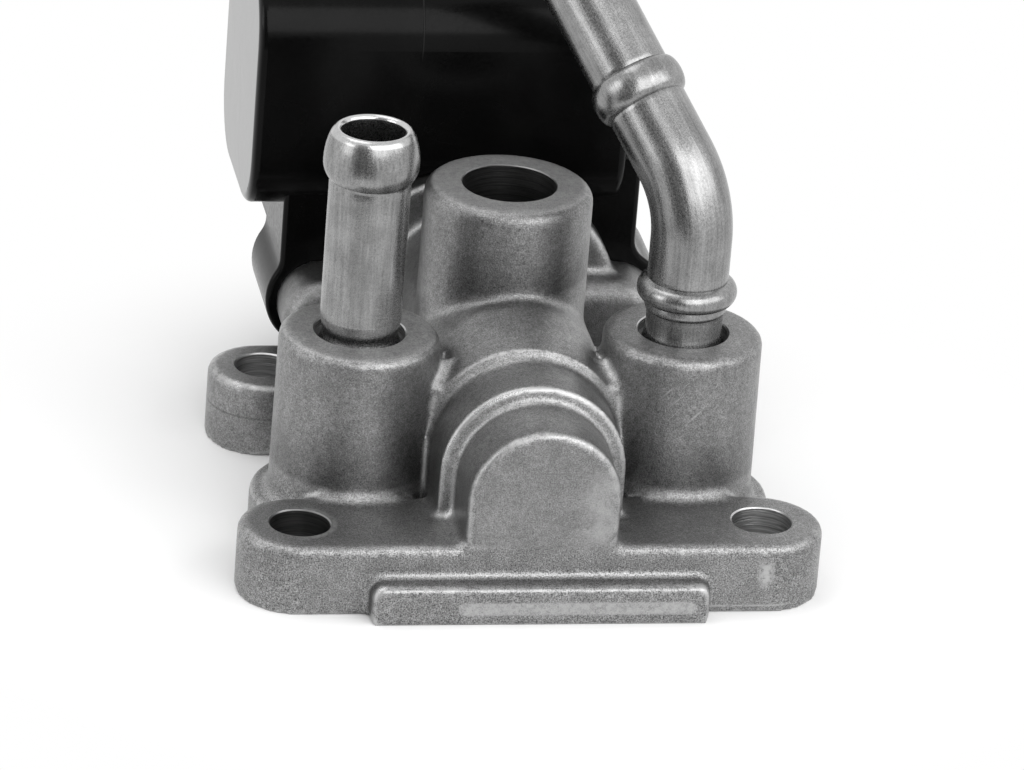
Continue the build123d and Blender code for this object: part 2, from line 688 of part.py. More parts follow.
def magnet_hub():
    """Moulded hub with a lip at each end of the magnet."""
    hub = y_cylinder(MAGNET_BORE_R - SEAT_GAP, CORE_Y, CORE_END_Y)
    for start in (CORE_Y - MAGNET_HUB_LIP, CORE_END_Y):
        hub += y_cylinder(MAGNET_BORE_R + MAGNET_HUB_LIP, start, start + MAGNET_HUB_LIP)
    return hub - y_cylinder(SHAFT_R + SEAT_GAP, CORE_Y - MAGNET_HUB_LIP, CORE_END_Y + MAGNET_HUB_LIP)


def rotor_magnet():
    """Ring magnet between the pole faces."""
    return y_ring(MAGNET_R, MAGNET_BORE_R, CORE_Y, CORE_END_Y)


def core_profile(grow=0.0):
    """Front-view outline of the core: two poles, two legs and the yoke, grown by a clearance."""
    leg_x = CORE_HALF_WIDTH - LEG_WIDTH / 2
    yoke_top = YOKE_Z + YOKE_HEIGHT / 2
    profile = Pos(0, AXIS_Z) * Circle(POLE_BACK_R + grow)
    profile += Pos(0, YOKE_Z) * Rectangle(2 * (CORE_HALF_WIDTH + grow), YOKE_HEIGHT + 2 * grow)
    foot_height = FOOT_TOP_Z - FOOT_LOW_Z + 2 * grow
    profile += Pos(0, (FOOT_LOW_Z + FOOT_TOP_Z) / 2) * Rectangle(2 * (CORE_HALF_WIDTH + grow), foot_height)
    for side in (-1, 1):
        leg = Rectangle(LEG_WIDTH + 2 * grow, yoke_top - FOOT_LOW_Z + 2 * grow)
        profile += Pos(side * leg_x, (yoke_top + FOOT_LOW_Z) / 2) * leg
    profile -= Pos(0, AXIS_Z) * Circle(POLE_R)
    slot_top = FOOT_TOP_Z + 2 * POCKET_GAP
    return profile - Pos(0, slot_top / 2) * Rectangle(POLE_GAP - 2 * grow, slot_top)


def core_stack():
    """The laminated core, as one pressed stack."""
    return along_y(core_profile(), CORE_Y, CORE_END_Y)


def x_bar(half_y, half_z, start, end):
    """A square bar along X about the yoke's centre line."""
    section = Plane.YZ.offset(start) * (Pos(CORE_MID_Y, YOKE_Z) * Rectangle(2 * half_y, 2 * half_z))
    return extrude(section, amount=end - start, dir=(1, 0, 0))


def coil_bobbin():
    """Square spool on the yoke, with end flanges and a middle wall between the two windings."""
    spool = x_bar(SPOOL_Y, SPOOL_Z, -SPOOL_HALF, SPOOL_HALF)
    for start in (-SPOOL_HALF, -SPOOL_FLANGE / 2, SPOOL_HALF - SPOOL_FLANGE):
        spool += x_bar(COIL_Y, COIL_Z, start, start + SPOOL_FLANGE)
    return spool - x_bar(CORE_T / 2 + POCKET_GAP, YOKE_HEIGHT / 2 + POCKET_GAP, -SPOOL_HALF, SPOOL_HALF)


def winding(start, end):
    """One winding: a rounded block of wire round the spool."""
    half_y, half_z = COIL_Y - WINDING_INSET, COIL_Z - WINDING_INSET
    block = x_bar(half_y, half_z, start, end)
    block = fillet(block.edges().filter_by(Axis.X), COIL_DEPTH / 2)
    return block - x_bar(SPOOL_Y, SPOOL_Z, start, end)


def opening_winding():
    """The winding on the left half of the spool."""
    return winding(SPOOL_FLANGE - SPOOL_HALF, -SPOOL_FLANGE / 2)


def closing_winding():
    """The winding on the right half of the spool."""
    return winding(SPOOL_FLANGE / 2, SPOOL_HALF - SPOOL_FLANGE)


def terminal_pin(index):
    """One flat terminal, from the bobbin through the back wall into the socket."""
    x = (index - (PIN_COUNT - 1) / 2) * PIN_PITCH
    section = Pos(x, YOKE_Z) * Rectangle(PIN_WIDTH, PIN_THICKNESS)
    return along_y(section, PIN_START_Y, BARREL_END_Y + PLUG_FLOOR + PIN_REACH)


def coil_barrel():
    """The wide upper part of the housing, round the coil."""
    section = RectangleRounded(BARREL_DEPTH, BARREL_TOP_Z - BARREL_LOW_Z, BARREL_CORNER_R)
    outline = Plane.YZ.offset(-BARREL_LEFT) * (Pos(CORE_MID_Y, YOKE_Z) * section)
    barrel = extrude(outline, amount=BARREL_LEFT + BARREL_RIGHT, dir=(1, 0, 0))
    ends = barrel.faces().filter_by(Axis.X)
    return fillet(ends.edges(), BARREL_EDGE_R)


def screw_lobes():
    """The flat front of the housing: two screw lobes that sweep up into the neck."""
    neck = Pos(NECK_X, (AXIS_Z + NECK_TOP_Z) / 2) * Rectangle(NECK_WIDTH, NECK_TOP_Z - AXIS_Z)
    outline = hull(screw_points(), LOBE_BLACK_R) + neck
    lower = outline.vertices().filter_by(lambda corner: AXIS_Z < corner.Y < NECK_TOP_Z - SMALL)
    sides = [corner for corner in lower if abs(abs(corner.X - NECK_X) - NECK_WIDTH / 2) < SMALL]
    outline = fillet(sides, NECK_FLARE_R)
    lobes = along_y(outline, MOTOR_FACE_Y, LOBE_BACK_Y)
    return fillet(front_rim(lobes, MOTOR_FACE_Y), HOUSING_EDGE_R)


def housing_neck():
    """The part of the housing between the coil barrel and the screw lobes, round the core's legs."""
    middle_y = MOTOR_FACE_Y + NECK_DEPTH / 2
    outline = Pos(NECK_X, middle_y) * RectangleRounded(NECK_WIDTH, NECK_DEPTH, NECK_EDGE_R)
    return extrude(Pos(0, 0, NECK_LOW_Z) * outline, amount=NECK_TOP_Z - NECK_LOW_Z)


def connector_shroud():
    """The socket on the back of the coil barrel, open to the back, with a latch ramp on top."""
    end = BARREL_END_Y + PLUG_LENGTH
    shroud = along_y(Pos(0, YOKE_Z) * RectangleRounded(PLUG_WIDTH, PLUG_HEIGHT, PLUG_CORNER_R),
                     BARREL_END_Y - PLUG_FLOOR, end)
    top = YOKE_Z + PLUG_HEIGHT / 2
    ramp = Plane.YZ.offset(-LATCH_WIDTH / 2) * Polygon(
        (end - LATCH_LENGTH, top), (end - LATCH_LENGTH, top + LATCH_HEIGHT), (end, top), align=None)
    return shroud + extrude(ramp, amount=LATCH_WIDTH, dir=(1, 0, 0))


def connector_cavity():
    """The space in the socket that the mating plug fills."""
    width = PLUG_WIDTH - 2 * PLUG_WALL
    height = PLUG_HEIGHT - 2 * PLUG_WALL
    inner = Pos(0, YOKE_Z) * RectangleRounded(width, height, PLUG_CORNER_R - PLUG_WALL)
    return along_y(inner, BARREL_END_Y + PLUG_FLOOR, BARREL_END_Y + PLUG_LENGTH)


def o_ring_groove():
    """Groove in the housing's front face for the O-ring."""
    half = O_RING_SECTION_R + RUN_GAP
    return y_ring(O_RING_R + half, O_RING_R - half, MOTOR_FACE_Y, MOTOR_FACE_Y + 2 * half)


def solenoid_housing():
    """The moulded housing: screw lobes, rotor case, neck, coil barrel and socket, cut for what it holds."""
    rim = y_cylinder(RIM_R, MOTOR_FACE_Y, MOTOR_FACE_Y + RIM_T)
    case = y_cylinder(ROTOR_CASE_R, MOTOR_FACE_Y, CASE_END_Y)
    case = fillet(case.edges().group_by(Axis.Y)[-1], NOSE_EDGE_R)
    housing = screw_lobes() + rim + case + housing_neck() + coil_barrel() + connector_shroud()
    housing -= y_cylinder(MOTOR_FLANGE_R + FLANGE_RELIEF, BARREL_Y, MOTOR_FACE_Y)
    housing -= Pos(0, MOTOR_FACE_Y, CASE_LOW_Z - RIM_R) * Box(2 * RIM_R, 4 * RIM_R, 2 * RIM_R)
    housing -= y_cylinder(POLE_R, MOTOR_FACE_Y, CAVITY_END_Y)
    housing -= y_cylinder(BUSH_R, CAVITY_END_Y, REAR_BUSH_END)
    housing -= along_y(core_profile(POCKET_GAP), CORE_Y - POCKET_GAP, CORE_END_Y + POCKET_GAP)
    housing -= x_bar(COIL_Y + POCKET_GAP, COIL_Z + POCKET_GAP, -LEG_INNER, LEG_INNER)
    housing -= connector_cavity()
    housing -= o_ring_groove()
    for index in range(PIN_COUNT):
        housing -= terminal_pin(index)
    for x, z in screw_points():
        housing -= y_cylinder(SCREW_R + SEAT_GAP + SLEEVE_WALL, MOTOR_FACE_Y, LOBE_BACK_Y, x, z)
    return housing


def flange_o_ring():
    """O-ring between the casting and the housing."""
    middle = MOTOR_FACE_Y + O_RING_SECTION_R + RUN_GAP
    return Pos(0, middle, AXIS_Z) * Rot(90, 0, 0) * Torus(O_RING_R, O_RING_SECTION_R)


def air_port_seal():
    """Moulded ring round the air port in the mounting face."""
    return extrude(Pos(0, 0, SEAL_SHY) * port_seal_ring(0.0), amount=SEAL_DEPTH - SEAL_SHY)


def coolant_seal():
    """Moulded ring round the coolant slot in the mounting face."""
    return extrude(Pos(0, 0, SEAL_SHY) * slot_seal_ring(0.0), amount=SEAL_DEPTH - SEAL_SHY)


def screw_sleeves():
    """Metal sleeves in the plastic lobes, which take the screws' clamp load."""
    outer, inner = SCREW_R + SLEEVE_WALL, SCREW_R + SEAT_GAP
    return Compound([y_ring(outer, inner, MOTOR_FACE_Y, LOBE_BACK_Y, x, z) for x, z in screw_points()])


def screw_washers():
    """Plain washers under the screw heads."""
    inner, end = SCREW_R + SEAT_GAP, LOBE_BACK_Y + WASHER_T
    return Compound([y_ring(SCREW_HEAD_R, inner, LOBE_BACK_Y, end, x, z) for x, z in screw_points()])


def solenoid_screw(x, z):
    """One cap screw, from the back of the lobe into the casting."""
    seat = LOBE_BACK_Y + WASHER_T
    end = seat + SCREW_HEAD_T
    shank = y_cylinder(SCREW_R - SEAT_GAP, MOTOR_FACE_Y - SCREW_GRIP + END_PLAY, seat, x, z)
    head = y_cylinder(SCREW_HEAD_R, seat, end, x, z)
    head = fillet(head.edges().group_by(Axis.Y)[-1], SCREW_HEAD_EDGE_R)
    drive = along_y(Pos(x, z) * RegularPolygon(SCREW_SOCKET_R, 6), end - SCREW_SOCKET_DEPTH, end)
    return shank + head - drive


def solenoid_screws():
    """The two screws that hold the solenoid."""
    return Compound([solenoid_screw(x, z) for x, z in screw_points()])


NODES = [
    valve_body, coolant_inlet_pipe, coolant_outlet_pipe, air_port_seal, coolant_seal,
    rotor_shaft, valve_rotor, rotor_pin, front_bush, thrust_washer, shaft_seal,
    bearing_outer_ring, bearing_inner_ring, bearing_balls, retaining_ring, magnet_hub, rotor_magnet,
    rear_bush, core_stack, coil_bobbin, opening_winding, closing_winding, solenoid_housing, flange_o_ring,
    screw_sleeves, screw_washers, solenoid_screws,
]

os.makedirs("parts", exist_ok=True)
for make_node in NODES:
    export_step(make_node(), f"parts/{make_node.__name__}.step")
for number in range(PIN_COUNT):
    export_step(terminal_pin(number), f"parts/terminal_pin_{number + 1}.step")
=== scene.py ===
import json
from math import cos, pi, radians, sin

import bmesh
import bpy
import numpy as np
from mathutils import Matrix, Vector


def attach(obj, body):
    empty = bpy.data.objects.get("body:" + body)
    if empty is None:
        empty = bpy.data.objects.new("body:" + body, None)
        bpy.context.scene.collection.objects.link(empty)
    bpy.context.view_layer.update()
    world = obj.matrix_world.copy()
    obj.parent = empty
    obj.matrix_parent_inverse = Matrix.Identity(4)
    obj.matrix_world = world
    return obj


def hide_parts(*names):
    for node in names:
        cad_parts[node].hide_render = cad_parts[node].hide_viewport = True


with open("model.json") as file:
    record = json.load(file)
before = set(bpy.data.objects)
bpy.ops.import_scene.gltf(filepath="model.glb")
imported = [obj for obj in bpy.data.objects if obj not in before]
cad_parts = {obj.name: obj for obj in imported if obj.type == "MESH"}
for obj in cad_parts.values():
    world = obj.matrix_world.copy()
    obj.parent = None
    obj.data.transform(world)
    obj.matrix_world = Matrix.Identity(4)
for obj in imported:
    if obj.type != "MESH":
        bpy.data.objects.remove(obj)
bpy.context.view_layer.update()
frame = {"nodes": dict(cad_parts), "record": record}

# Sizes in millimetres, in the CAD model's frame: +X is right, +Y back and +Z up from the mounting face
MM = 0.001

# Flange and its holes
FRONT_HOLES = [(-26.5, 0.0), (26.5, 0.0)]
REAR_HOLES = [(-25.1, 41.5), (25.1, 41.5)]
FLANGE_T, REAR_EAR_T = 8.2, 8.8
EARS = ((FRONT_HOLES, FLANGE_T), (REAR_HOLES, REAR_EAR_T))
HOLE_R, HOLE_WEAR, RIM_WEAR, RIM_DEPTH = 3.3, 0.12, 0.28, 0.16

# Coolant bosses, the slot that joins them and its seal
COOLANT_X, COOLANT_Y, BOSS_TOP_Z = 18.7, 14.6, 25.4
SEAT_R, SEAT_LOW_Z, SEAT_CHAMFER, TAIL_BORE_R = 5.2, 22.4, 0.15, 4.1
SLOT_HALF_WIDTH, SLOT_TOP_Z, SLOT_SEAL_R = 3.5, 3.3, 6.62

# Air bore, air port and its seal
AIR_Y, AIR_TOP_Z, AIR_BORE_R, AIR_CHAMFER = 28.8, 37.5, 5.45, 0.12
PORT_Y, PORT_R, PORT_SEAL_R = 31.0, 4.6, 7.82

# Chamber along the rotor's axis, and the solenoid's screw holes
AXIS_Z, MOTOR_FACE_Y = 13.5, 50.0
BUSH_R, BUSH_Y = 4.5, -3.5
CHAMBER_R, CHAMBER_Y = 7.6, 3.0
BEARING_R, BEARING_Y = 8.0, 42.0
SCREW_X, SCREW_HOLE_R, SCREW_HOLE_Y = 17.65, 2.0, 43.5

# Pipes
PIPE_R, PIPE_BORE_R, PIPE_TAIL_R = 4.65, 3.62, 4.08
PIPE_END_Z, INLET_TOP_Z = 14.4, 50.1
TAIL_LOW_Z, TAIL_HIGH_Z, FLARE_LOW_Z = 15, 22.2, 22.6
FOOT_Z, FOOT_R = 24.1, 4.74
TAPER_TOP_Z = 27.5
CREASE, CREASE_OUT, CREASE_IN = 0.06, 0.35, 0.1
MOUTH_LENGTH, CREST_DEPTH, CREST_R, EDGE_DEPTH, EDGE_R = 6.5, 4.1, 5.45, 0.75, 4.82
LIP_R, BORE_EDGE_R, BORE_EDGE_DEPTH = 4.1, 3.98, 0.45
BEND_START, BEND_R, BEND_DEG, HEADING_DEG, BENT_RUN = 36.9, 11.4, 47.4, 124.0, 36.0
BEND_LENGTH = BEND_R * radians(BEND_DEG)
BASE_BEAD_Z, BASE_BEAD_R, BASE_BEAD_HALF = 30.6, 5.75, 1.3
MIDDLE_BEAD_RUN, MIDDLE_BEAD_R, MIDDLE_BEAD_HALF = 9.0, 5.5, 2.0

# Segments round a small hole, a plug, a bore and a surface in plain view
SMALL, PLUG, BORE, SMOOTH = 32, 48, 64, 96


# Mesh helpers

def new_object(name, vertices, faces, material=None):
    """A mesh object from points in millimetres."""
    mesh = bpy.data.meshes.new(name)
    mesh.from_pydata([Vector(v) * MM for v in vertices], [], faces)
    mesh.update()
    obj = bpy.data.objects.new(name, mesh)
    bpy.context.scene.collection.objects.link(obj)
    if material:
        mesh.materials.append(material)
    return obj


def lathe(profile, segments, place):
    """Points and faces of a closed solid of revolution.

    The profile runs from axis to axis as (radius, height) points.
    """
    vertices, faces, rings = [], [], []
    for r, h in profile:
        if r == 0:
            rings.append([len(vertices)])
            vertices.append(place @ Vector((0, 0, h)))
            continue
        rings.append(list(range(len(vertices), len(vertices) + segments)))
        for i in range(segments):
            a = 2 * pi * i / segments
            vertices.append(place @ Vector((r * cos(a), r * sin(a), h)))
    for low, high in zip(rings, rings[1:]):
        for i in range(segments):
            j = (i + 1) % segments
            if len(low) == 1:
                faces.append((low[0], high[j], high[i]))
            elif len(high) == 1:
                faces.append((low[i], low[j], high[0]))
            else:
                faces.append((low[i], low[j], high[j], high[i]))
    return vertices, faces


def rod(radius, low, high):
    """Lathe profile of a plain cylinder."""
    return [(0, low), (radius, low), (radius, high), (0, high)]


def along_z(x, y):
    """Places a lathe on an upright axis."""
    return Matrix.Translation((x, y, 0))


def along_y(x=0.0):
    """Turns a lathe's height into depth along +Y, at the rotor's height."""
    return Matrix.Translation((x, 0, AXIS_Z)) @ Matrix.Rotation(-pi / 2, 4, "X")


def block(low, high):
    """Points and faces of a box."""
    (x0, y0, z0), (x1, y1, z1) = low, high
    points = [(x, y, z) for x in (x0, x1) for y in (y0, y1) for z in (z0, z1)]
    faces = [(0, 1, 3, 2), (4, 6, 7, 5), (0, 4, 5, 1), (2, 3, 7, 6), (0, 2, 6, 4), (1, 5, 7, 3)]
    return points, faces


def applied(obj):
    """Bakes an object's modifiers into its mesh."""
    graph = bpy.context.evaluated_depsgraph_get()
    mesh = bpy.data.meshes.new_from_object(obj.evaluated_get(graph))
    obj.modifiers.clear()
    old, obj.data = obj.data, mesh
    bpy.data.meshes.remove(old)


def cut(obj, solid, material):
    """Cuts one solid, given as points and faces, from an object. The cut faces get the material."""
    tool = new_object("tool", *solid, material)
    change = obj.modifiers.new("cut", "BOOLEAN")
    change.operation = "DIFFERENCE"
    change.solver = "MANIFOLD"
    change.object = tool
    change.material_mode = "TRANSFER"
    applied(obj)
    mesh = tool.data
    bpy.data.objects.remove(tool)
    bpy.data.meshes.remove(mesh)


def point_attribute(mesh, name, values):
    """Stores one number, or one vector, for each point of a mesh."""
    kind = "FLOAT" if values.ndim == 1 else "FLOAT_VECTOR"
    field = "value" if values.ndim == 1 else "vector"
    attribute = mesh.attributes.new(name, kind, "POINT")
    attribute.data.foreach_set(field, values.astype(np.float32).ravel())


# Node helpers

class Nodes:
    """Short names for building one material's node tree."""

    def __init__(self, name):
        self.material = bpy.data.materials.new(name)
        self.material.use_nodes = True
        self.tree = self.material.node_tree
        self.shader = self.tree.nodes["Principled BSDF"]

    def add(self, kind, inputs=None, **settings):
        """A new node with its settings and inputs."""
        node = self.tree.nodes.new(kind)
        for key, value in settings.items():
            setattr(node, key, value)
        for key, value in (inputs or {}).items():
            self.put(node.inputs[key], value)
        return node

    def put(self, socket, value):
        """Links a socket or sets its value."""
        if isinstance(value, bpy.types.NodeSocket):
            self.tree.links.new(value, socket)
        else:
            socket.default_value = value

    def millimetres(self):
        """The place on the object, in millimetres."""
        place = self.add("ShaderNodeTexCoord").outputs["Object"]
        return self.add("ShaderNodeVectorMath", {0: place, "Scale": 1 / MM}, operation="SCALE").outputs[0]

    def split(self, vector):
        """The three parts of a vector."""
        return self.add("ShaderNodeSeparateXYZ", {0: vector}).outputs

    def stretch(self, vector, scale):
        return self.add("ShaderNodeVectorMath", {0: vector, 1: scale}, operation="MULTIPLY").outputs[0]

    def distance(self, vector, point):
        return self.add("ShaderNodeVectorMath", {0: vector, 1: point}, operation="DISTANCE").outputs["Value"]

    def from_axis(self, place, x, y):
        """The distance from an upright axis."""
        return self.distance(self.stretch(place, (1.0, 1.0, 0.0)), (x, y, 0))

    def noise(self, vector, scale, detail=2.0, rough=0.5, distortion=0.0):
        inputs = {"Vector": vector, "Scale": scale, "Detail": detail, "Roughness": rough,
                  "Distortion": distortion}
        return self.add("ShaderNodeTexNoise", inputs).outputs["Fac"]

    def ramp(self, value, low, high, to_low=0.0, to_high=1.0):
        """A soft step from one level to another as a value goes from low to high."""
        inputs = {"Value": value, "From Min": low, "From Max": high, "To Min": to_low, "To Max": to_high}
        return self.add("ShaderNodeMapRange", inputs, interpolation_type="SMOOTHSTEP").outputs[0]

    def fade(self, value, low, high):
        """1 below a range and 0 above it."""
        return self.ramp(value, low, high, 1.0, 0.0)

    def spread(self, noise, to_low, to_high):
        """A noise brought to a range of levels."""
        return self.ramp(noise, 0.3, 0.7, to_low, to_high)

    def within(self, value, low, high, soft):
        """1 between two values and 0 outside them, with soft ends."""
        rise = self.ramp(value, low - soft, low + soft)
        return self.both(rise, self.fade(value, high - soft, high + soft))

    def spot(self, x, z, ranges):
        """1 inside a mark, given as (low, high, soft) along X and along Z."""
        return self.both(self.within(x, *ranges[0]), self.within(z, *ranges[1]))

    def math(self, operation, a, b=0.0, c=0.0):
        return self.add("ShaderNodeMath", {0: a, 1: b, 2: c}, operation=operation).outputs[0]

    def both(self, *masks):
        """The product of several masks."""
        total = masks[0]
        for mask in masks[1:]:
            total = self.math("MULTIPLY", total, mask)
        return total

    def either(self, *masks):
        """The largest of several masks."""
        total = masks[0]
        for mask in masks[1:]:
            total = self.math("MAXIMUM", total, mask)
        return total

    def shift(self, base, mask, amount):
        """A value that changes by an amount where a mask is 1."""
        return self.math("MULTIPLY_ADD", mask, amount, base)

    def vary(self, base, noise, amount):
        """A value that a noise raises and lowers."""
        return self.math("MULTIPLY_ADD", self.math("SUBTRACT", noise, 0.5), amount, base)

    def mix(self, share, a, b):
        node = self.add("ShaderNodeMix", data_type="RGBA")
        for socket, value in zip((node.inputs[0], node.inputs[6], node.inputs[7]), (share, a, b)):
            self.put(socket, value)
        return node.outputs[2]

    def grey(self, value):
        """A number as a neutral colour."""
        return self.add("ShaderNodeCombineColor", {0: value, 1: value, 2: value}).outputs[0]

    def bump(self, height, strength, distance, normal=None):
        inputs = {"Height": height, "Strength": strength, "Distance": distance * MM}
        if normal:
            inputs["Normal"] = normal
        return self.add("ShaderNodeBump", inputs).outputs[0]

    def attribute(self, name, output="Fac"):
        return self.add("ShaderNodeAttribute", attribute_name=name).outputs[output]

    def finish(self, **sockets):
        """Fills the shader's sockets, whose names have underscores here for spaces."""
        for key, value in sockets.items():
            self.put(self.shader.inputs[key.replace("_", " ")], value)
        return self.material


# Marks on the casting, each as (low, high, soft) along X and along Z
NOSE_RUB = ((4.6, 8.6, 1.6), (8.5, 17.0, 1.8))
BOSS_SCRATCHES = ((15.0, 21.5, 1.2), (18.0, 22.8, 1.0))
SMUDGE = ((25.2, 26.7, 0.6), (3.4, 6.2, 0.9))
FLASH_LINE = ((19.2, 29.0, 1.0), (0.78, 0.98, 0.15))
# Painted light on the flange top beside the left web
WEB_PAINTED_LIGHT = ((-19.0, -6.0, 3.0), (FLANGE_T - 0.3, FLANGE_T + 0.4, 0.2))

# The sheared strip on the gate pad: its middle, half length and height
STRIP_X, STRIP_HALF, STRIP_Z = 4.05, 12.8, 2.0

# Where a mark or a change of tone sets in or runs out, as the two ends of a soft step
STRIP_FRONT_Y, NOSE_FRONT_Y = (-9.5, -9.2), (-6.4, -6.0)
FLANGE_FRONT_Y, BOSS_FRONT_Y = (-5.0, -4.0), (8.0, 9.0)
WORN_RING_X = (-28.0, -25.0)
# Where the painted shade at the feet of the coolant bosses and the air boss sets in and runs out
BOSS_FOOT_Y, BOSS_FOOT_LOW_Z, BOSS_FOOT_HIGH_Z = (3.0, 6.0), (FLANGE_T + 0.9, FLANGE_T + 1.7), (9.5, 17.5)
AIR_FOOT_R, AIR_FOOT_X = (10.2, 10.7), (-8.0, -4.0)
AIR_FOOT_LOW_Z, AIR_FOOT_HIGH_Z = (27.0, 27.8), (27.5, 34.5)
# Where the painted light on the crown runs out at its sides and front
CROWN_SIDE_X, CROWN_Y = (9.6, 10.6), (-5.5, -4.5)
PARTING_SIDE_X, PARTING_Y = (19.0, 21.0), (30.0, 34.0)
# The reach of the faced boss tops, and where the painted shade on the right boss's top sets in
BOSS_TOP_SIDE_X, BOSS_TOP_Y, PAINTED_SHADE_TOP_X = (9.8, 10.6), (24, 25), (5.0, 9.0)
AIR_FACE_Z = (AIR_TOP_Z - 0.35, AIR_TOP_Z - 0.15)
COARSE_Z, COARSE_Y = (7.0, 9.0), (20.0, 32.0)

# Bands of tone, as (low, high, soft); the crown's band is painted light
CROWN_Z, PARTING_Z = (15.0, 26.4, 1.5), (4.6, 4.8, 0.14)
BOSS_TOP_BAND = (BOSS_TOP_Z - 0.25, BOSS_TOP_Z + 0.2, 0.1)
WORN_RING_R = (HOLE_R + 0.25, HOLE_R + 0.85, 0.25)

# The black barrel's seam, as a band across and two soft steps, and its glossier left side
SEAM_X, SEAM_Y, SEAM_Z = (-7.75, -7.6, 0.06), (55.0, 56.0), (44.4, 47.0)
GLOSSY_SIDE_X = (-26.9, -26.5)

# Tones and strengths on the casting; the hollows' tone is a painted highlight
CAST_TONE, RUBBED_TONE, HOLLOW_HIGHLIGHT_TONE, HANDLED_TONE, STRIP_TONE = 0.232, 0.48, 0.46, 0.46, 0.44
RUB_STRENGTH, MARK_STRENGTH = 0.55, 0.95
SCRATCH_TILT_DEG = 50


# Materials

def gate_strip(n, place, fleck):
    """The pale, round-ended strip where the gate was sheared off."""
    x, y, z = n.split(place)
    along = n.math("ABSOLUTE", n.math("SUBTRACT", x, STRIP_X))
    beyond = n.either(n.math("SUBTRACT", along, STRIP_HALF), 0.0)
    lift = n.math("SUBTRACT", z, STRIP_Z)
    reach = n.math("SQRT", n.math("ADD", n.both(beyond, beyond), n.both(lift, lift)))
    edge = n.fade(n.vary(reach, fleck, 0.5), 0.6, 0.95)
    return n.both(edge, n.fade(y, *STRIP_FRONT_Y), n.ramp(fleck, 0.35, 0.65, 0.45, 0.85))


def handled_spots(n, place, fleck):
    """The rubbed nose and scratched boss, and the stronger hole rim, smudge and flash line."""
    x, y, z = n.split(place)
    cloud = n.noise(place, scale=0.45, detail=4.0, rough=0.65)
    patchy = n.ramp(fleck, 0.3, 0.55)
    nose = n.both(n.spot(x, z, NOSE_RUB), n.fade(y, *NOSE_FRONT_Y), n.ramp(cloud, 0.3, 0.6))
    turn = {"Vector": place, "Angle": radians(SCRATCH_TILT_DEG)}
    slant = n.add("ShaderNodeVectorRotate", turn, rotation_type="Y_AXIS").outputs[0]
    scratch = n.ramp(n.noise(n.stretch(slant, (0.25, 0.25, 5.0)), scale=1.0), 0.64, 0.7)
    boss = n.both(n.spot(x, z, BOSS_SCRATCHES), n.fade(y, *BOSS_FRONT_Y), scratch)
    front = n.fade(y, *FLANGE_FRONT_Y)
    smudge = n.both(n.spot(x, z, SMUDGE), front, patchy)
    flash = n.both(n.spot(x, z, FLASH_LINE), front, n.ramp(fleck, 0.35, 0.5))
    top = n.ramp(z, FLANGE_T - 0.6, FLANGE_T - 0.3)
    hole = n.from_axis(place, *FRONT_HOLES[0])
    ring = n.both(n.within(hole, *WORN_RING_R), top, n.ramp(x, *WORN_RING_X), patchy)
    rubs = n.both(n.either(nose, boss), RUB_STRENGTH)
    return n.either(rubs, n.both(n.either(ring, smudge, flash), MARK_STRENGTH))


def painted_light_shade_and_parting(n, place):
    """Painted shade at the feet of the bosses and the air boss, painted light on the crown and the web, and
    darker parting lines.
    """
    x, y, z = n.split(place)
    wide = n.math("ABSOLUTE", x)
    boss_foot = n.both(n.ramp(y, *BOSS_FOOT_Y), n.ramp(z, *BOSS_FOOT_LOW_Z), n.fade(z, *BOSS_FOOT_HIGH_Z))
    air_foot = n.both(n.fade(n.from_axis(place, 0, AIR_Y), *AIR_FOOT_R), n.ramp(z, *AIR_FOOT_LOW_Z),
                      n.fade(z, *AIR_FOOT_HIGH_Z), n.ramp(x, *AIR_FOOT_X))
    # Painted shade: the casting is darkened at the feet of the coolant bosses and the air boss
    painted_shade = n.shift(1.0, n.either(boss_foot, air_foot), -0.38)
    # Painted light: the crown's slope and the flange top by the left web are made lighter
    crown = n.both(n.within(z, *CROWN_Z), n.fade(wide, *CROWN_SIDE_X), n.ramp(y, *CROWN_Y))
    parting = n.both(n.within(z, *PARTING_Z), n.ramp(y, *PARTING_Y), n.ramp(wide, *PARTING_SIDE_X))
    painted_light = n.shift(n.shift(1.0, crown, 0.16), n.spot(x, z, WEB_PAINTED_LIGHT), 0.4)
    return n.both(painted_shade, n.shift(painted_light, parting, -0.4))


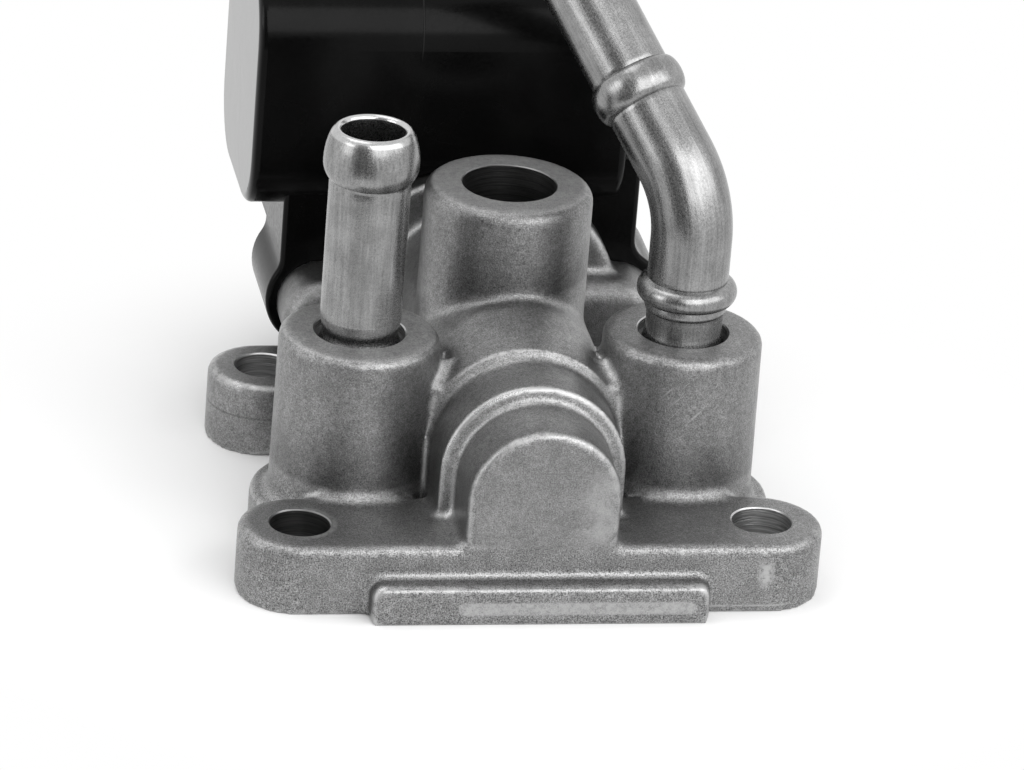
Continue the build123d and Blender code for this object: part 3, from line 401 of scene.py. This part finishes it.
def cast_metal():
    """Blasted die casting: fine grain, pits, soft mottling, edges rubbed bright, a painted highlight in the
    inner corners, painted light and shade on some faces, and a few handled spots.
    """
    n = Nodes("cast_aluminium")
    place = n.millimetres()
    x, y, z = n.split(place)
    grain = n.noise(place, scale=6.0, detail=2.0, rough=0.8)
    patches = n.noise(place, scale=0.3, detail=4.0, rough=0.6)
    chips = n.noise(place, scale=0.9, detail=3.0, rough=0.6)
    fleck = n.noise(place, scale=1.6, detail=3.0, rough=0.6)
    pits = n.ramp(n.noise(place, scale=2.6, detail=2.0, rough=0.6), 0.62, 0.74, 1.0, 0.68)
    mottle = n.spread(n.noise(place, scale=1.7, detail=2.0, rough=0.6), 0.88, 1.14)
    boss_top = n.both(n.within(z, *BOSS_TOP_BAND), n.fade(y, *BOSS_TOP_Y),
                      n.ramp(n.math("ABSOLUTE", x), *BOSS_TOP_SIDE_X))
    faced = n.either(boss_top, n.ramp(z, *AIR_FACE_Z))
    # Painted shade: the right coolant boss's top is made darker
    right_top_painted_shade = n.both(boss_top, n.ramp(x, *PAINTED_SHADE_TOP_X))
    base = n.shift(n.shift(CAST_TONE, faced, 0.05), right_top_painted_shade, -0.08)
    coarse = n.both(n.ramp(z, *COARSE_Z, 1.0, 0.6), n.ramp(y, *COARSE_Y, 1.0, 0.6))
    speck = n.vary(base, grain, coarse)
    tone = n.both(speck, pits, n.spread(patches, 0.9, 1.1), mottle, painted_light_shade_and_parting(n, place))
    rubbed = n.ramp(n.vary(n.vary(n.attribute("wear"), grain, 0.5), chips, 0.7), 0.35, 0.95)
    # Painted highlight: the inner corners and fillets are made brighter
    hollow_highlight = n.ramp(n.vary(n.attribute("hollow"), grain, 0.7), 0.3, 0.9)
    handled, strip = handled_spots(n, place, fleck), gate_strip(n, place, fleck)
    shares = (rubbed, RUBBED_TONE), (hollow_highlight, HOLLOW_HIGHLIGHT_TONE), (handled, HANDLED_TONE), (strip, STRIP_TONE)
    colour = n.grey(tone)
    for share, level in shares:
        colour = n.mix(share, colour, (level, level, level, 1))
    rough = n.shift(n.shift(n.spread(patches, 0.36, 0.3), rubbed, -0.05), hollow_highlight, -0.06)
    relief = n.bump(grain, 0.6, 0.09, n.bump(patches, 0.3, 0.25))
    return n.finish(Base_Color=colour, Metallic=n.shift(0.95, faced, -0.4), Roughness=rough, Normal=relief)


def machined_metal(name, dark, light, ridge):
    """Cut aluminium with fine turning marks."""
    n = Nodes(name)
    rings = n.noise(n.stretch(n.millimetres(), (0.15, 0.15, 6.0)), scale=1.0, detail=2.0, rough=0.6)
    colour = n.grey(n.spread(rings, dark, light))
    return n.finish(Base_Color=colour, Metallic=1.0, Roughness=0.32, Normal=n.bump(rings, 0.6, ridge))


def pipe_metal():
    """Drawn tube: streaks along its length, fine grain, a polished rim and painted light on the straight
    pipe's taper.
    """
    n = Nodes("pipe_steel")
    straight = n.attribute("straight", "Vector")
    streak = n.noise(n.stretch(straight, (1.0, 1.0, 0.05)), scale=3.0, detail=4.0, rough=0.7)
    grain = n.noise(straight, scale=5.0, detail=2.0, rough=0.7)
    patch = n.noise(straight, scale=0.35, detail=3.0, rough=0.5)
    polish_and_painted_light = n.attribute("polish_and_painted_light")
    tone = n.vary(n.vary(0.3, streak, 0.34), grain, 0.34)
    tone = n.both(tone, n.spread(patch, 0.85, 1.08))
    # A lighter, smoother finish where polish is set: the polished rim, and painted light on the taper
    colour = n.mix(polish_and_painted_light, n.grey(tone), (0.75, 0.75, 0.75, 1))
    rough = n.shift(n.spread(grain, 0.22, 0.31), polish_and_painted_light, -0.12)
    height = n.shift(n.both(grain, 0.5), streak, 0.6)
    return n.finish(Base_Color=colour, Metallic=1.0, Roughness=rough, Normal=n.bump(height, 0.3, 0.06))


def black_plastic():
    """Glossy moulded black with a faint flow pattern, a fine seam in front and a glossier left side."""
    n = Nodes("black_plastic")
    place = n.millimetres()
    x, y, z = n.split(place)
    flow = n.noise(place, scale=0.12, detail=3.0, rough=0.5, distortion=0.6)
    grain = n.noise(place, scale=2.5, detail=2.0, rough=0.5)
    seam = n.both(n.within(x, *SEAM_X), n.ramp(z, *SEAM_Z), n.fade(y, *SEAM_Y))
    side = n.fade(x, *GLOSSY_SIDE_X)
    tone = n.shift(n.spread(flow, 0.0015, 0.003), seam, 0.014)
    rough = n.shift(n.spread(grain, 0.16, 0.24), side, -0.12)
    relief = n.bump(seam, 0.25, 0.1, n.bump(flow, 0.15, 0.2))
    return n.finish(Base_Color=n.grey(tone), Roughness=rough, Normal=relief, Specular_IOR_Level=0.1,
                    Coat_Weight=n.both(side, 0.5), Coat_Roughness=0.08)


def inner_material(name, colour, metallic, roughness, scale):
    """A plain inner part: its colour broken up by grain, with matching gloss and relief."""
    n = Nodes(name)
    grain = n.noise(n.millimetres(), scale, detail=3.0, rough=0.6)
    dark = tuple(0.75 * c for c in colour) + (1,)
    light = tuple(min(1.0, 1.15 * c) for c in colour) + (1,)
    shade = n.mix(n.spread(grain, 0.0, 1.0), dark, light)
    rough = n.spread(grain, roughness - 0.06, roughness + 0.06)
    return n.finish(Base_Color=shade, Metallic=metallic, Roughness=rough, Normal=n.bump(grain, 0.2, 0.04))


MATERIALS = {
    "cast_aluminium": cast_metal(),
    # Machined faces; in the front left bolt hole their dark tone is painted shade
    "machined": machined_metal("machined_aluminium_painted_shade", 0.16, 0.28, 0.05),
    # A lighter copy of the machined finish: painted light in the other bolt holes and the pipe seats
    "machined_painted_light": machined_metal("machined_aluminium_painted_light", 0.36, 0.72, 0.12),
    "pipe_steel": pipe_metal(),
    "black_plastic": black_plastic(),
    "rubber": inner_material("rubber", (0.02, 0.02, 0.02), 0.0, 0.7, 3.0),
    "steel": inner_material("steel", (0.4, 0.4, 0.41), 1.0, 0.3, 2.0),
    "bronze": inner_material("bronze", (0.5, 0.34, 0.18), 1.0, 0.45, 4.0),
    "brass": inner_material("brass", (0.7, 0.55, 0.26), 1.0, 0.3, 2.0),
    "magnet": inner_material("magnet", (0.08, 0.08, 0.09), 0.6, 0.5, 3.0),
    "core_steel": inner_material("core_steel", (0.25, 0.25, 0.27), 0.9, 0.45, 2.0),
    "copper_wire": inner_material("copper_wire", (0.6, 0.25, 0.1), 0.9, 0.35, 3.0),
    "bobbin_plastic": inner_material("bobbin_plastic", (0.7, 0.67, 0.58), 0.0, 0.55, 2.0),
    "rotor_plastic": inner_material("rotor_plastic", (0.06, 0.06, 0.065), 0.0, 0.5, 3.0),
}


def dress_nodes():
    """Gives every CAD node the material of its slot."""
    for row in frame["record"]["subparts"]:
        mesh = frame["nodes"][row["node"]].data
        mesh.materials.clear()
        mesh.materials.append(MATERIALS[row["material_slot"]])


# The casting

VOXEL = 0.42
PLUG_GROW, HOLE_PLUG_GROW = 0.1, 0.6
OUTER_WEAR_BEND, HOLLOW_BEND = 0.12, 0.11
WEAR_BLUR, HOLLOW_BLUR, HOLLOW_SPREAD = 1, 4, 3
FILL_BEND, FILL_STEP, FILL_ROUNDS = 0.03, 0.6, 2
BELOW_FLANGE = ((-60, -40, -20), (60, 90, 0))
BEHIND_MOTOR_FACE = ((-60, MOTOR_FACE_Y, -20), (60, 90, 60))
OVERRUN = 1
CRISP_EDGE_DEG = 25


def casting_copy():
    """A copy of the CAD casting with its corner points merged."""
    build = bmesh.new()
    build.from_mesh(frame["nodes"]["valve_body"].data)
    bmesh.ops.remove_doubles(build, verts=build.verts, dist=1e-7)
    mesh = bpy.data.meshes.new("casting")
    build.to_mesh(mesh)
    build.free()
    copy = bpy.data.objects.new("casting", mesh)
    bpy.context.scene.collection.objects.link(copy)
    return copy


def bore_plugs():
    """Solids that fill the casting's bores, a little oversize."""
    grow, seal_top, seat_low, screw_low = PLUG_GROW, 4, 2, SCREW_HOLE_Y - 0.5
    plugs = []
    for holes, top in EARS:
        plugs += [lathe(rod(HOLE_R + HOLE_PLUG_GROW, 0, top), SMALL, along_z(x, y)) for x, y in holes]
    for side in (-1, 1):
        boss = along_z(side * COOLANT_X, COOLANT_Y)
        plugs.append(lathe(rod(SEAT_R + grow, seat_low, BOSS_TOP_Z), PLUG, boss))
        plugs.append(lathe(rod(SLOT_SEAL_R + grow, 0, seal_top), PLUG, boss))
        screw = rod(SCREW_HOLE_R + grow, screw_low, MOTOR_FACE_Y)
        plugs.append(lathe(screw, SMALL, along_y(side * SCREW_X)))
    reach = SLOT_SEAL_R + grow
    plugs.append(block((-COOLANT_X, COOLANT_Y - reach, 0), (COOLANT_X, COOLANT_Y + reach, seal_top)))
    plugs.append(lathe(rod(AIR_BORE_R + grow, AXIS_Z, AIR_TOP_Z), PLUG, along_z(0, AIR_Y)))
    plugs.append(lathe(rod(PORT_SEAL_R + grow, 0, AXIS_Z), PLUG, along_z(0, PORT_Y)))
    plugs.append(lathe(rod(BEARING_R + grow, BUSH_Y - grow, MOTOR_FACE_Y), PLUG, along_y()))
    return plugs


def filled_casting():
    """The casting with its bores filled, rebuilt as an even skin with every edge eased."""
    lump = casting_copy()
    parts = [lump] + [new_object("plug", *solid) for solid in bore_plugs()]
    with bpy.context.temp_override(active_object=lump, selected_editable_objects=parts):
        bpy.ops.object.join()
    skin = lump.modifiers.new("skin", "REMESH")
    skin.mode = "VOXEL"
    skin.voxel_size = VOXEL * MM
    ease = lump.modifiers.new("ease", "SMOOTH")
    ease.factor = 0.5
    ease.iterations = 2
    applied(lump)
    return lump


class Skin:
    """A mesh's points as arrays, with means over each point's neighbours."""

    def __init__(self, mesh):
        self.mesh = mesh
        self.count = len(mesh.vertices)
        edges = np.empty(len(mesh.edges) * 2, int)
        mesh.edges.foreach_get("vertices", edges)
        self.first, self.second = edges.reshape(-1, 2).T
        self.degree = np.bincount(edges, minlength=self.count)[:, None]

    def read(self, name):
        values = np.empty(self.count * 3)
        self.mesh.vertices.foreach_get(name, values)
        return values.reshape(-1, 3)

    def around(self, values):
        """The mean of each point's neighbours."""
        total = np.zeros_like(values)
        np.add.at(total, self.first, values[self.second])
        np.add.at(total, self.second, values[self.first])
        return total / self.degree

    def bend(self, blur):
        """How sharply the skin bends at each point: above 0 on outer edges, below 0 in hollows."""
        place = self.read("co")
        bend = -((self.around(place) - place) * self.read("normal")).sum(1)[:, None] / (VOXEL * MM)
        for _ in range(blur):
            bend = 0.5 * bend + 0.5 * self.around(bend)
        return bend

    def fill_hollows(self):
        """Rounds off the inner corners, where molten metal leaves a soft fillet."""
        share = np.clip(-self.bend(HOLLOW_BLUR) / FILL_BEND, 0, 1)
        for _ in range(HOLLOW_SPREAD):
            share = np.maximum(share, self.around(share))
        place = self.read("co")
        for _ in range(FILL_ROUNDS):
            place += FILL_STEP * share * (self.around(place) - place)
        self.mesh.vertices.foreach_set("co", place.ravel())
        self.mesh.update()


def hole_cuts():
    """The four bolt holes, with worn rims."""
    worn, rim = HOLE_R + HOLE_WEAR, HOLE_R + RIM_WEAR
    bores = []
    for holes, top in EARS:
        profile = [(0, -OVERRUN), (worn, -OVERRUN), (worn, top - RIM_DEPTH), (rim, top),
                   (rim, top + OVERRUN), (0, top + OVERRUN)]
        bores += [lathe(profile, BORE, along_z(x, y)) for x, y in holes]
    return bores


def seat_cuts():
    """The coolant bores, with a wide seat at the top of each boss."""
    rim, top = SEAT_R + SEAT_CHAMFER, BOSS_TOP_Z
    profile = [(0, -OVERRUN), (PIPE_BORE_R, -OVERRUN), (PIPE_BORE_R, PIPE_END_Z), (TAIL_BORE_R, PIPE_END_Z),
               (TAIL_BORE_R, SEAT_LOW_Z), (SEAT_R, SEAT_LOW_Z), (SEAT_R, top - SEAT_CHAMFER), (rim, top),
               (rim, top + OVERRUN), (0, top + OVERRUN)]
    return [lathe(profile, SMOOTH, along_z(side * COOLANT_X, COOLANT_Y)) for side in (-1, 1)]


def inner_cuts():
    """The flat faces, the screw holes, the coolant slot, the air port, the air bore and the chamber."""
    cuts = [block(*BELOW_FLANGE), block(*BEHIND_MOTOR_FACE)]
    end = MOTOR_FACE_Y + OVERRUN
    screw = rod(SCREW_HOLE_R, SCREW_HOLE_Y, end)
    cuts += [lathe(screw, SMALL, along_y(side * SCREW_X)) for side in (-1, 1)]
    low, high = COOLANT_Y - SLOT_HALF_WIDTH, COOLANT_Y + SLOT_HALF_WIDTH
    cuts.append(block((-COOLANT_X, low, -OVERRUN), (COOLANT_X, high, SLOT_TOP_Z)))
    cuts.append(lathe(rod(PORT_R, -OVERRUN, AXIS_Z), BORE, along_z(0, PORT_Y)))
    rim, top = AIR_BORE_R + AIR_CHAMFER, AIR_TOP_Z
    profile = [(0, AXIS_Z), (AIR_BORE_R, AXIS_Z), (AIR_BORE_R, top - AIR_CHAMFER), (rim, top),
               (rim, top + OVERRUN), (0, top + OVERRUN)]
    cuts.append(lathe(profile, SMOOTH, along_z(0, AIR_Y)))
    chamber = [(0, BUSH_Y), (BUSH_R, BUSH_Y), (BUSH_R, CHAMBER_Y), (CHAMBER_R, CHAMBER_Y),
               (CHAMBER_R, BEARING_Y), (BEARING_R, BEARING_Y), (BEARING_R, end), (0, end)]
    cuts.append(lathe(chamber, SMOOTH, along_y()))
    return cuts


def sharpen_cuts(mesh):
    """Smooth shading, except on the crisp edges of machined faces."""
    build = bmesh.new()
    build.from_mesh(mesh)
    for face in build.faces:
        face.smooth = True
    for edge in build.edges:
        machined = any(face.material_index for face in edge.link_faces)
        edge.smooth = not (machined and edge.calc_face_angle(0) > radians(CRISP_EDGE_DEG))
    build.to_mesh(mesh)
    build.free()


def casting():
    """The valve body as a soft-edged casting with crisp machined bores. Its front left bolt hole gets the
    darker machined finish as painted shade; the other bolt holes and the pipe seats get a lighter copy as
    painted light.
    """
    body = filled_casting()
    body.data.materials.clear()
    body.data.materials.append(MATERIALS["cast_aluminium"])
    skin = Skin(body.data)
    skin.fill_hollows()
    bend = skin.bend(WEAR_BLUR)[:, 0]
    point_attribute(body.data, "wear", np.clip(bend / OUTER_WEAR_BEND, 0, 1))
    # The hollows' share, which the casting's colour turns into a painted highlight
    point_attribute(body.data, "hollow", np.clip(-bend / HOLLOW_BEND, 0, 1))
    painted_shade_hole, *painted_light_holes = hole_cuts()
    for solid in inner_cuts() + [painted_shade_hole]:
        cut(body, solid, MATERIALS["machined"])
    for solid in seat_cuts() + painted_light_holes:
        cut(body, solid, MATERIALS["machined_painted_light"])
    sharpen_cuts(body.data)
    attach(body, "body")
    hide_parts("valve_body")


# The pipes. A profile is a list of (length along, radius, polish) points; on the straight pipe's taper that
# polish is painted light

PIPE_EDGE_DEG = 50
# How much the lip, the bore's edge and the taper are lightened; on the taper it is painted light
LIP_POLISH, MOUTH_POLISH, TAPER_PAINTED_LIGHT = 0.45, 0.7, 0.15


def swept(name, profile, path):
    """A hollow pipe whose profile runs out along the outside and back along the bore."""
    vertices, straight, polish_and_painted_light, faces = [], [], [], []
    for s, r, polish_and_painted_light_level in profile:
        centre, across, over = path(s)
        for i in range(SMOOTH):
            a = 2 * pi * i / SMOOTH
            vertices.append(centre + (across * cos(a) + over * sin(a)) * r)
            straight.append((r * cos(a), r * sin(a), s))
            polish_and_painted_light.append(polish_and_painted_light_level)
    rings = len(profile)
    for k in range(rings):
        low, high = k * SMOOTH, ((k + 1) % rings) * SMOOTH
        for i in range(SMOOTH):
            j = (i + 1) % SMOOTH
            faces.append((low + i, low + j, high + j, high + i))
    pipe = new_object(name, vertices, faces, MATERIALS["pipe_steel"])
    point_attribute(pipe.data, "straight", np.array(straight))
    point_attribute(pipe.data, "polish_and_painted_light", np.array(polish_and_painted_light))
    pipe.data.set_sharp_from_angle(angle=radians(PIPE_EDGE_DEG))
    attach(pipe, "body")
    return pipe


def run(start, end, r, step):
    """Profile of a plain length of tube."""
    count = max(2, int(abs(end - start) / step) + 1)
    return [(start + (end - start) * i / (count - 1), r, 0.0) for i in range(count)]


def curve(start, lead, end, trail, count, polish_and_painted_light_level=0.0):
    """Profile of a smooth curve between two (length along, radius) places with given slopes."""
    points = []
    for i in range(count):
        t = i / (count - 1)
        weights = (2 * t**3 - 3 * t**2 + 1, t**3 - 2 * t**2 + t, 3 * t**2 - 2 * t**3, t**3 - t**2)
        s, r = (sum(w * v[k] for w, v in zip(weights, (start, lead, end, trail))) for k in (0, 1))
        points.append((s, r, polish_and_painted_light_level))
    return points


def bead(middle, radius, half):
    """Profile of a rolled bead with a pressed crease at each side."""
    count, sweep_deg = 15, 82
    low, high = middle - half, middle + half
    points = [(low - CREASE_OUT, PIPE_R, 0), (low - CREASE_IN, PIPE_R - CREASE, 0)]
    for i in range(count):
        a = radians(-sweep_deg + 2 * sweep_deg * i / (count - 1))
        points.append((middle + half * sin(a), PIPE_R + (radius - PIPE_R) * cos(a), 0))
    return points + [(high + CREASE_IN, PIPE_R - CREASE, 0), (high + CREASE_OUT, PIPE_R, 0)]


def mouth(tip):
    """Profile of a pipe's end: a crease, a bead that narrows to a polished lip, and the bore's edge."""
    start, crest, edge = tip - MOUTH_LENGTH, (tip - CREST_DEPTH, CREST_R), (tip - EDGE_DEPTH, EDGE_R)
    lip, inside, bore = (tip, LIP_R), (tip, BORE_EDGE_R), (tip - BORE_EDGE_DEPTH, PIPE_BORE_R)
    points = [(start, PIPE_R, 0), (start + 0.3, PIPE_R - CREASE, 0)]
    points += curve((start + 0.45, PIPE_R), (1.4, 1.4), crest, (2.2, 0), count=12)
    points += curve(crest, (3.4, 0), edge, (3.0, -1.35), count=16)[1:]
    points += curve(edge, (1.0, -0.45), lip, (0.1, -1.0), count=8, polish_and_painted_light_level=LIP_POLISH)[1:]
    points += curve(inside, (-0.05, -0.4), bore, (-0.6, 0), count=6, polish_and_painted_light_level=MOUTH_POLISH)
    return points


def foot():
    """Profile of a pipe's reduced end in its boss and the flare that nearly fills the seat."""
    points = [(PIPE_END_Z, PIPE_BORE_R, 0), (PIPE_END_Z, PIPE_TAIL_R, 0)]
    points += run(TAIL_LOW_Z, TAIL_HIGH_Z, PIPE_TAIL_R, step=1.5)
    edge = (FOOT_Z - 0.2, FOOT_R - 0.02)
    return points + curve((FLARE_LOW_Z, PIPE_TAIL_R), (1.0, 0.1), edge, (0.3, 0.5), count=8)


def inlet_tail():
    """Profile of the straight pipe's foot and the soft taper above it, which carries painted light."""
    waist_low, waist_high, top = (25.2, 4.3), (25.5, 4.28), (TAPER_TOP_Z, PIPE_R)
    points = foot() + curve((FOOT_Z, FOOT_R), (0.4, 0.0), waist_low, (0.8, -0.1), count=8)
    return points + curve(waist_high, (0.8, 0.1), top, (1.6, 0), count=12, polish_and_painted_light_level=TAPER_PAINTED_LIGHT)


def outlet_tail():
    """Profile of the bent pipe's foot, its neck and the small step under its base bead."""
    neck_low, neck_high, neck_top = (25.9, 4.38), (26.6, 4.36), (28.2, 4.48)
    ledge = [(28.35, 4.66, 0), (28.6, 4.72, 0), (28.85, PIPE_R, 0)]
    points = foot() + curve((FOOT_Z, FOOT_R), (0.5, 0.0), neck_low, (1.2, -0.05), count=8)
    return points + curve(neck_high, (1.0, 0.0), neck_top, (0.3, 0.2), count=6) + ledge


def straight_path(s):
    """Centre and cross directions of the straight pipe at a height."""
    return Vector((-COOLANT_X, COOLANT_Y, s)), Vector((1, 0, 0)), Vector((0, 1, 0))


def bent_path(s):
    """Centre and cross directions of the bent pipe at a length along it."""
    heading = Vector((cos(radians(HEADING_DEG)), sin(radians(HEADING_DEG)), 0))
    rise = Vector((0, 0, 1))
    side = rise.cross(heading)
    turn = radians(BEND_DEG) * min(max((s - BEND_START) / BEND_LENGTH, 0), 1)
    onward = max(s - BEND_START - BEND_LENGTH, 0)
    direction = heading * sin(turn) + rise * cos(turn)
    centre = Vector((COOLANT_X, COOLANT_Y, min(s, BEND_START)))
    centre += heading * (BEND_R * (1 - cos(turn))) + rise * (BEND_R * sin(turn)) + direction * onward
    return centre, side, direction.cross(side)


def end_and_bore(tip, step):
    """Profile of a pipe's mouth and of its bore, back to the reduced end."""
    return mouth(tip) + run(tip - 1, TAIL_LOW_Z, PIPE_BORE_R, step)


def pipes():
    """The straight inlet pipe and the bent outlet pipe."""
    below_mouth, above_base = MOUTH_LENGTH + 0.8, BASE_BEAD_Z + 2.0
    profile = inlet_tail() + run(TAPER_TOP_Z + 0.1, INLET_TOP_Z - below_mouth, PIPE_R, step=1.0)
    inlet = swept("inlet_pipe", profile + end_and_bore(INLET_TOP_Z, step=2.5), straight_path)
    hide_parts("coolant_inlet_pipe")
    bend_end = BEND_START + BEND_LENGTH
    tip, middle = bend_end + BENT_RUN, bend_end + MIDDLE_BEAD_RUN
    beside = MIDDLE_BEAD_HALF + 0.6
    profile = outlet_tail() + bead(BASE_BEAD_Z, BASE_BEAD_R, BASE_BEAD_HALF)
    profile += run(above_base, middle - beside, PIPE_R, step=0.5)
    profile += bead(middle, MIDDLE_BEAD_R, MIDDLE_BEAD_HALF)
    profile += run(middle + beside, tip - below_mouth, PIPE_R, step=1.0)
    outlet = swept("outlet_pipe", profile + end_and_bore(tip, step=1.0), bent_path)
    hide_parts("coolant_outlet_pipe")


# Camera, stage and light

FRAME_WIDTH, FRAME_HEIGHT = 1024, 770
AZIMUTH_DEG, ELEVATION_DEG, ROLL_DEG = -11.3, 24.13, -4.60
PIXELS_PER_MM, CAMERA_DISTANCE = 8.771, 785.8
TARGET, TARGET_PIXEL = (0, 10, 12), (520.1, 453.4)
SENSOR_WIDTH = 36.0
WORLD_LIGHT, WORLD_SEEN = 0.75, 1.0
FLOOR_HALF = 4000
FLOOR_CENTRE, SHADOW_REACH, WHITE_REACH = (0, 22, 0), 38, 78
LAMP_TARGET = (0, 0.02, 0.02)

# The dark card's corners, each as a distance, a bearing in degrees and a height
SCREEN_CORNERS = ((130, -64, 1), (130, -3, 1), (1000, -22, 1000), (1000, -58, 1000))


def place_camera():
    """The photograph's view."""
    azimuth, elevation, roll = radians(AZIMUTH_DEG), radians(ELEVATION_DEG), radians(ROLL_DEG)
    back = Vector((sin(azimuth) * cos(elevation), -cos(azimuth) * cos(elevation), sin(elevation)))
    right = Vector((cos(azimuth), sin(azimuth), 0))
    up = back.cross(right)
    across = right * cos(roll) - up * sin(roll)
    over = right * sin(roll) + up * cos(roll)
    offset = across * ((TARGET_PIXEL[0] - FRAME_WIDTH / 2) / PIXELS_PER_MM)
    offset -= over * ((TARGET_PIXEL[1] - FRAME_HEIGHT / 2) / PIXELS_PER_MM)
    place = Vector(TARGET) + back * CAMERA_DISTANCE - offset
    camera = bpy.data.objects.new("camera", bpy.data.cameras.new("camera"))
    camera.data.sensor_width = SENSOR_WIDTH
    camera.data.lens = SENSOR_WIDTH * PIXELS_PER_MM * CAMERA_DISTANCE / FRAME_WIDTH
    camera.data.clip_start = 0.01
    turned = Matrix((across, over, back)).transposed().to_4x4()
    camera.matrix_world = Matrix.Translation(place * MM) @ turned
    bpy.context.scene.collection.objects.link(camera)
    bpy.context.scene.camera = camera


def seen_directly(tree):
    """1 for what the camera, a mirror or glass sees, 0 for what only lights the object."""
    path = tree.nodes.new("ShaderNodeLightPath")
    total = path.outputs["Is Camera Ray"]
    for name in ("Is Glossy Ray", "Is Transmission Ray"):
        join = tree.nodes.new("ShaderNodeMath")
        join.operation = "MAXIMUM"
        tree.links.new(total, join.inputs[0])
        tree.links.new(path.outputs[name], join.inputs[1])
        total = join.outputs[0]
    return total


def light_world():
    """A white surround that gives an even, moderate light."""
    world = bpy.data.worlds.new("studio")
    world.use_nodes = True
    bpy.context.scene.world = world
    tree = world.node_tree
    background = tree.nodes["Background"]
    background.inputs["Color"].default_value = (1, 1, 1, 1)
    level = tree.nodes.new("ShaderNodeMapRange")
    level.inputs["To Min"].default_value = WORLD_LIGHT
    level.inputs["To Max"].default_value = WORLD_SEEN
    tree.links.new(seen_directly(tree), level.inputs["Value"])
    tree.links.new(level.outputs[0], background.inputs["Strength"])


def floor():
    """A pale floor that keeps the object's shadow and runs out to white."""
    n = Nodes("floor")
    place = n.millimetres()
    tone = n.spread(n.noise(place, scale=0.02, detail=3.0), 0.97, 1.0)
    n.finish(Base_Color=n.grey(tone), Roughness=0.9)
    glow = n.add("ShaderNodeEmission", {"Color": (1, 1, 1, 1), "Strength": 1.0})
    clear = n.ramp(n.distance(place, FLOOR_CENTRE), SHADOW_REACH, WHITE_REACH)
    share = n.both(clear, seen_directly(n.tree))
    join = n.add("ShaderNodeMixShader", {0: share, 1: n.shader.outputs[0], 2: glow.outputs[0]})
    n.tree.links.new(join.outputs[0], n.tree.nodes["Material Output"].inputs["Surface"])
    half = FLOOR_HALF
    corners = [(-half, -half, 0), (half, -half, 0), (half, half, 0), (-half, half, 0)]
    ground = new_object("floor", corners, [(0, 1, 2, 3)], n.material)


def around(reach, bearing, height):
    """A place by its distance along the floor, its bearing in degrees and its height.

    A bearing of 0 is in front of the object and one of 90 on its right.
    """
    return Vector((reach * sin(radians(bearing)), -reach * cos(radians(bearing)), height))


def dark_screen():
    """A dark card that leans back from the floor at the front left and shows only in reflections."""
    n = Nodes("screen")
    tone = n.spread(n.noise(n.millimetres(), scale=0.01, detail=2.0), 0.18, 0.24)
    n.finish(Base_Color=n.grey(tone), Roughness=1.0)
    corners = [around(*corner) for corner in SCREEN_CORNERS]
    screen = new_object("screen", corners, [(0, 1, 2, 3)], n.material)
    screen.visible_camera = screen.visible_diffuse = screen.visible_shadow = False


def lamp(name, place, size, power):
    """A soft box at a place in metres, turned to the object."""
    light = bpy.data.lights.new(name, "AREA")
    light.shape = "RECTANGLE"
    light.size, light.size_y = size
    light.energy = power
    obj = bpy.data.objects.new(name, light)
    obj.location = place
    obj.rotation_euler = (Vector(LAMP_TARGET) - Vector(place)).to_track_quat("-Z", "Y").to_euler()
    bpy.context.scene.collection.objects.link(obj)


def light_scene():
    """A broad soft box in front on the right, a weaker one on each side and one overhead."""
    lamp("key", around(0.78, 12, 0.545), (0.75, 0.72), 3.6)
    lamp("right", around(0.74, 60, 0.516), (0.6, 0.6), 1.9)
    lamp("left", around(0.85, -76, 0.31), (0.35, 0.4), 0.9)
    lamp("top", (-0.3, 0.15, 0.85), (0.5, 0.5), 1.2)


dress_nodes()
casting()
pipes()
floor()
dark_screen()
light_world()
light_scene()
place_camera()
bpy.context.scene.view_settings.view_transform = "Standard"
